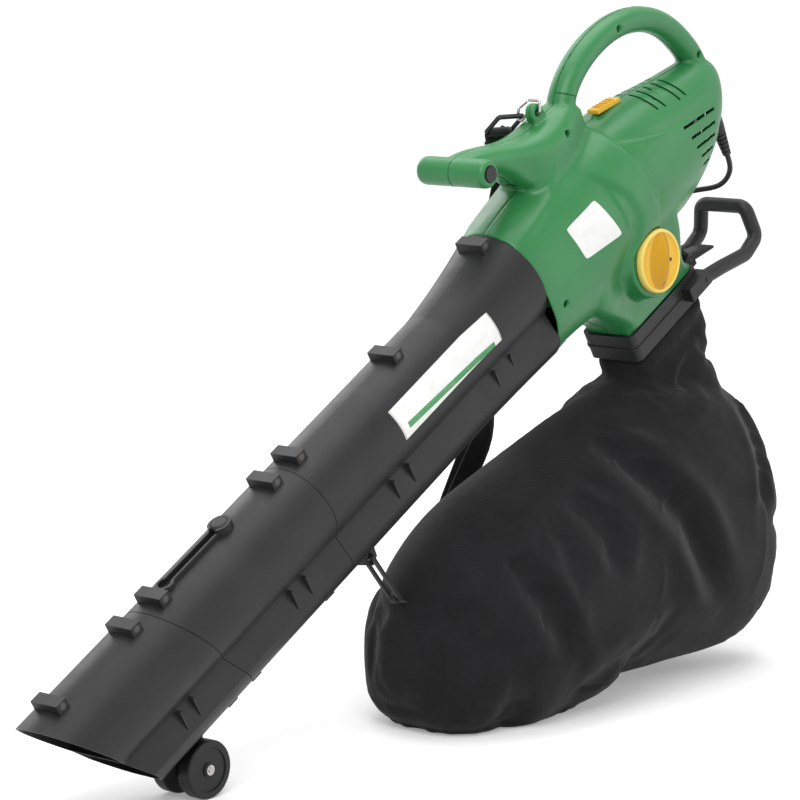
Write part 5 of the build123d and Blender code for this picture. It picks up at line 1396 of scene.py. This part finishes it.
@dataclass
class Webbing:
    """The shoulder strap and the bag's tab: flat woven bands, folded and sewn at the ends."""

    half: float = 19.0
    thick: float = 2.2
    route: Triples = (
        (545.0, 42.7, 668.0), (547.0, 43.5, 661.0), (566.0, 51.0, 645.0), (586.0, 65.0, 620.0),
        (597.0, 84.0, 562.0), (602.0, 94.0, 480.0), (608.0, 110.0, 390.0), (624.0, 124.0, 335.0),
        (634.0, 136.0, 290.0), (618.0, 146.0, 246.0), (590.0, 150.0, 198.0), (570.0, 151.0, 150.0),
        (563.0, 152.0, 130.0), (562.0, 157.0, 121.0), (564.0, 162.0, 130.0), (574.0, 163.0, 150.0),
        (600.0, 161.0, 205.0), (628.0, 157.0, 260.0), (650.0, 151.0, 312.0), (674.0, 139.0, 380.0),
        (704.0, 113.0, 475.0), (728.0, 87.5, 558.0), (735.4, 83.9, 581.9))
    front_bar: tuple[float, float, float] = (545.0, 38.5, 668.0)
    front_fold: float = 4.1
    rear_bar: tuple[float, float, float] = (930.0, 80.0, 120.0)
    rear_slope: float = -21.0
    rear_fold: float = 3.9
    tail: int = 11                            # steps of the route that carry a second layer
    stitch: tuple[float, float, float] = (1.2, 0.45, 0.4)   # half its length, width and height
    sewn: float = 0.72                        # share of the width that the stitches cross
    turns: int = 28                           # rows of a fold round a bar
    hook_bar: tuple[float, float, float] = (322.0, 0.0, 160.0)
    hook_fold: float = 4.3
    tab_half: float = 5.0
    tab_run: tuple[float, float] = (4.0, 34.0)         # where the tab starts, and its length
    tab_drop: tuple[float, float, float] = (1.0, 9.0, 3.0)   # its start, fall and sag
    crease: float = math.radians(50.0)        # edges sharper than this stay sharp
    ply: float = 1.03                         # a second layer's distance, in thicknesses
    inner: int = 3                            # the second layers start this far from the bars

    def band(self, rows: list[Row], half: float, ring: bool) -> tuple[list[Vector], list[Face]]:
        """Sweeps the webbing's section along rows of place, width and thickness direction.

        Args:
            rows: The rows.
            half: Half the band's width in millimetres.
            ring: Whether the last row leads back to the first.

        Returns:
            Points and faces.
        """
        t = self.thick / 2
        side = [(-half, -0.4 * t), (-half + 0.6, -t), (-half / 2, -t), (0.0, -t), (half / 2, -t),
                (half - 0.6, -t), (half, -0.4 * t)]
        loop = side + [(-x, -y) for x, y in side]
        return swept([[c + (a * x + o * y) * MM for x, y in loop] for c, a, o in rows], ring)

    def strip_rows(self) -> list[Row]:
        """The strap's rows from the front ring to the rear bar."""
        line = [standing(*p) for p in smooth_line(list(self.route), False)]
        rows = []
        for k, place in enumerate(line):
            along = (line[min(k + 1, len(line) - 1)] - line[max(k - 1, 0)]).normalized()
            flat = Vector((along.z, 0.0, -along.x))
            if flat.length < 0.3:
                flat = Vector((1.0, 0.0, 0.0)) - along * along.x
            if flat.x < 0:
                flat.negate()
            flat.normalize()
            out = along.cross(flat)
            rows.append((place, flat, out if out.y > 0 else -out))
        return rows

    def fold_rows(self, centre: Vector, axis: Vector, first: Vector, second: Vector,
                  radius: float) -> list[Row]:
        """Rows of a fold that runs once round a bar.

        Args:
            centre: The bar's middle.
            axis: Its direction.
            first: A direction square to it, where the fold starts.
            second: The direction that the fold turns to.
            radius: The fold's radius in millimetres.

        Returns:
            The rows.
        """
        rows = []
        for k in range(self.turns):
            turn = 2 * math.pi * k / self.turns
            out = first * math.cos(turn) + second * math.sin(turn)
            rows.append((centre + out * radius * MM, axis, out))
        return rows

    def bar_rows(self, centre: Vector, slope: float, radius: float) -> list[Row]:
        """Rows of a fold round a bar that lies along the machine at a slope."""
        axis = Vector((math.cos(slope), 0.0, math.sin(slope)))
        first = axis.cross(Y_AXIS).normalized()
        return self.fold_rows(centre, axis, first, axis.cross(first), radius)

    def stitch_rows(self, rows: list[Row]) -> list[Row]:
        """Place, direction and outside of each stitch: two lines across and a cross between."""
        found = []
        last = len(rows) - 2
        for share in np.linspace(-self.sewn, self.sewn, 12):
            for n in (1, last):
                place, flat, out = rows[n]
                found.append((place + flat * self.half * share * MM, flat, out))
            for lean in (1, -1):
                n = 1 + (last - 1) * (share + self.sewn) / (2 * self.sewn)
                (p, flat, out), (q, _, _) = rows[int(n)], rows[min(int(n) + 1, last)]
                place = p.lerp(q, n - int(n))
                along = (rows[last][0] - rows[1][0]).normalized()
                found.append((place + flat * self.half * share * lean * MM,
                              (flat * lean + along).normalized(), out))
        return found

    def build(self, paint: Paintbox) -> None:
        """Makes the strap, its stitches and the bag's tab.

        Args:
            paint: The finishes.
        """
        rows = self.strip_rows()
        lift = self.thick * self.ply
        tails = [[(p + o * lift * MM, f, o) for p, f, o in part]
                 for part in (rows[self.inner:self.tail], rows[-self.tail + self.inner:-1])]
        folds = [self.bar_rows(standing(*self.front_bar), 0.0, self.front_fold),
                 self.bar_rows(tool(*self.rear_bar), math.radians(self.rear_slope),
                               self.rear_fold)]
        parts = [self.band(rows, self.half, False)]
        parts += [self.band(t, self.half, False) for t in tails]
        parts += [self.band(f, self.half, True) for f in folds]
        strap = assembled("strap_webbing", parts)
        bpy.ops.object.shade_smooth_by_angle(angle=self.crease)
        settle(strap, paint, STRAP_WEB, Body.MACHINE, "webbing", "shoulder_strap")
        sewn = []
        for tail in tails:
            for place, along, out in self.stitch_rows(tail):
                middle = place + out * self.thick / 2 * MM
                corners = [middle + way * half * hand * MM
                           for way, half in zip((along, along.cross(out), out), self.stitch)
                           for hand in (1, -1)]
                sewn.append((corners, [(a, b, c) for a in (0, 1) for b in (2, 3)
                                       for c in (4, 5)]))
        stitches = assembled("strap_stitches", sewn)
        bpy.ops.object.shade_smooth_by_angle(angle=math.radians(80.0))
        settle(stitches, paint, THREAD, Body.MACHINE, "webbing")
        self.tab(paint)

    def tab(self, paint: Paintbox) -> None:
        """Makes the tab that ties the bag's end to its hook."""
        place = standing(*self.hook_bar)
        leaf = Vector((0.26, 0.0, 0.966))
        link = []
        (start, run), (first, fall, sag) = self.tab_run, self.tab_drop
        for step in np.linspace(0.0, 1.0, 9):
            drop = first + fall * step + sag * math.sin(step * math.pi)
            link.append((place + Vector((start + run * step, 0.0, -drop)) * MM, Y_AXIS, leaf))
        fold = self.fold_rows(place, Y_AXIS, X_AXIS, Z_AXIS, self.hook_fold)
        parts = [self.band(fold, self.tab_half, True), self.band(link, self.tab_half, False)]
        tab = assembled("bag_tab", parts)
        bpy.ops.object.shade_smooth_by_angle(angle=self.crease)
        settle(tab, paint, STRAP_WEB, Body.MACHINE, "webbing")


def rounded_latch(paint: Paintbox, nodes: Solids) -> None:
    """Rounds the latch lever's edges as moulded nylon has them.

    Args:
        paint: The finishes.
        nodes: The solids by name.
    """
    piece = solid_copy(nodes, "latch_lever_moulded", "bag_latch")
    modify(piece, "REMESH", mode="VOXEL", voxel_size=LATCH_VOXEL * MM)
    modify(piece, "SMOOTH", factor=0.5, iterations=LATCH_ROUNDING)
    smooth_shade(piece)
    settle(piece, paint, FRAME_PP, Body.LATCH, "frame_black", "bag_latch")


class SolidFinishes:
    """Dresses the solids that stay in view."""

    def __init__(self, frame: dict) -> None:
        """Keeps the solids and the slot of each."""
        self.nodes = frame["nodes"]
        self.slots = {s["node"]: s["material_slot"] for s in frame["record"]["subparts"]}

    @staticmethod
    def tube_sticker() -> PrintedSticker:
        """The tube's blank sticker, at its own place and slope."""
        low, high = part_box("tube_label")
        return PrintedSticker("Vinyl_tube_label", (low + high) / 2, (92.5, 20.5), LEAN, "#2F8B4A")

    def build(self, paint: Paintbox) -> None:
        """Gives every solid its finish.

        Args:
            paint: The finishes.
        """
        own = {"tube_label": self.tube_sticker()}
        for node, piece in self.nodes.items():
            paint.coat(piece, own.get(node) or SLOT_FINISH[self.slots[node]])
            piece.select_set(False)
        LOG.info("%d solids dressed", len(self.nodes))


def main() -> None:
    """Builds the studio and every piece, in order."""
    logging.basicConfig(level=logging.INFO, format="%(name)s: %(message)s")
    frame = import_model()
    paint = Paintbox()
    Studio().build()
    MainsCord().build(paint, frame["nodes"])
    SolidFinishes(frame).build(paint)
    CollectingBag().build(paint)
    ModeDial().build(paint)
    RatingSticker().build(paint, Housing().build(paint, frame["nodes"]))
    Webbing().build(paint)
    rounded_latch(paint, frame["nodes"])


if __name__ == "__main__":
    main()
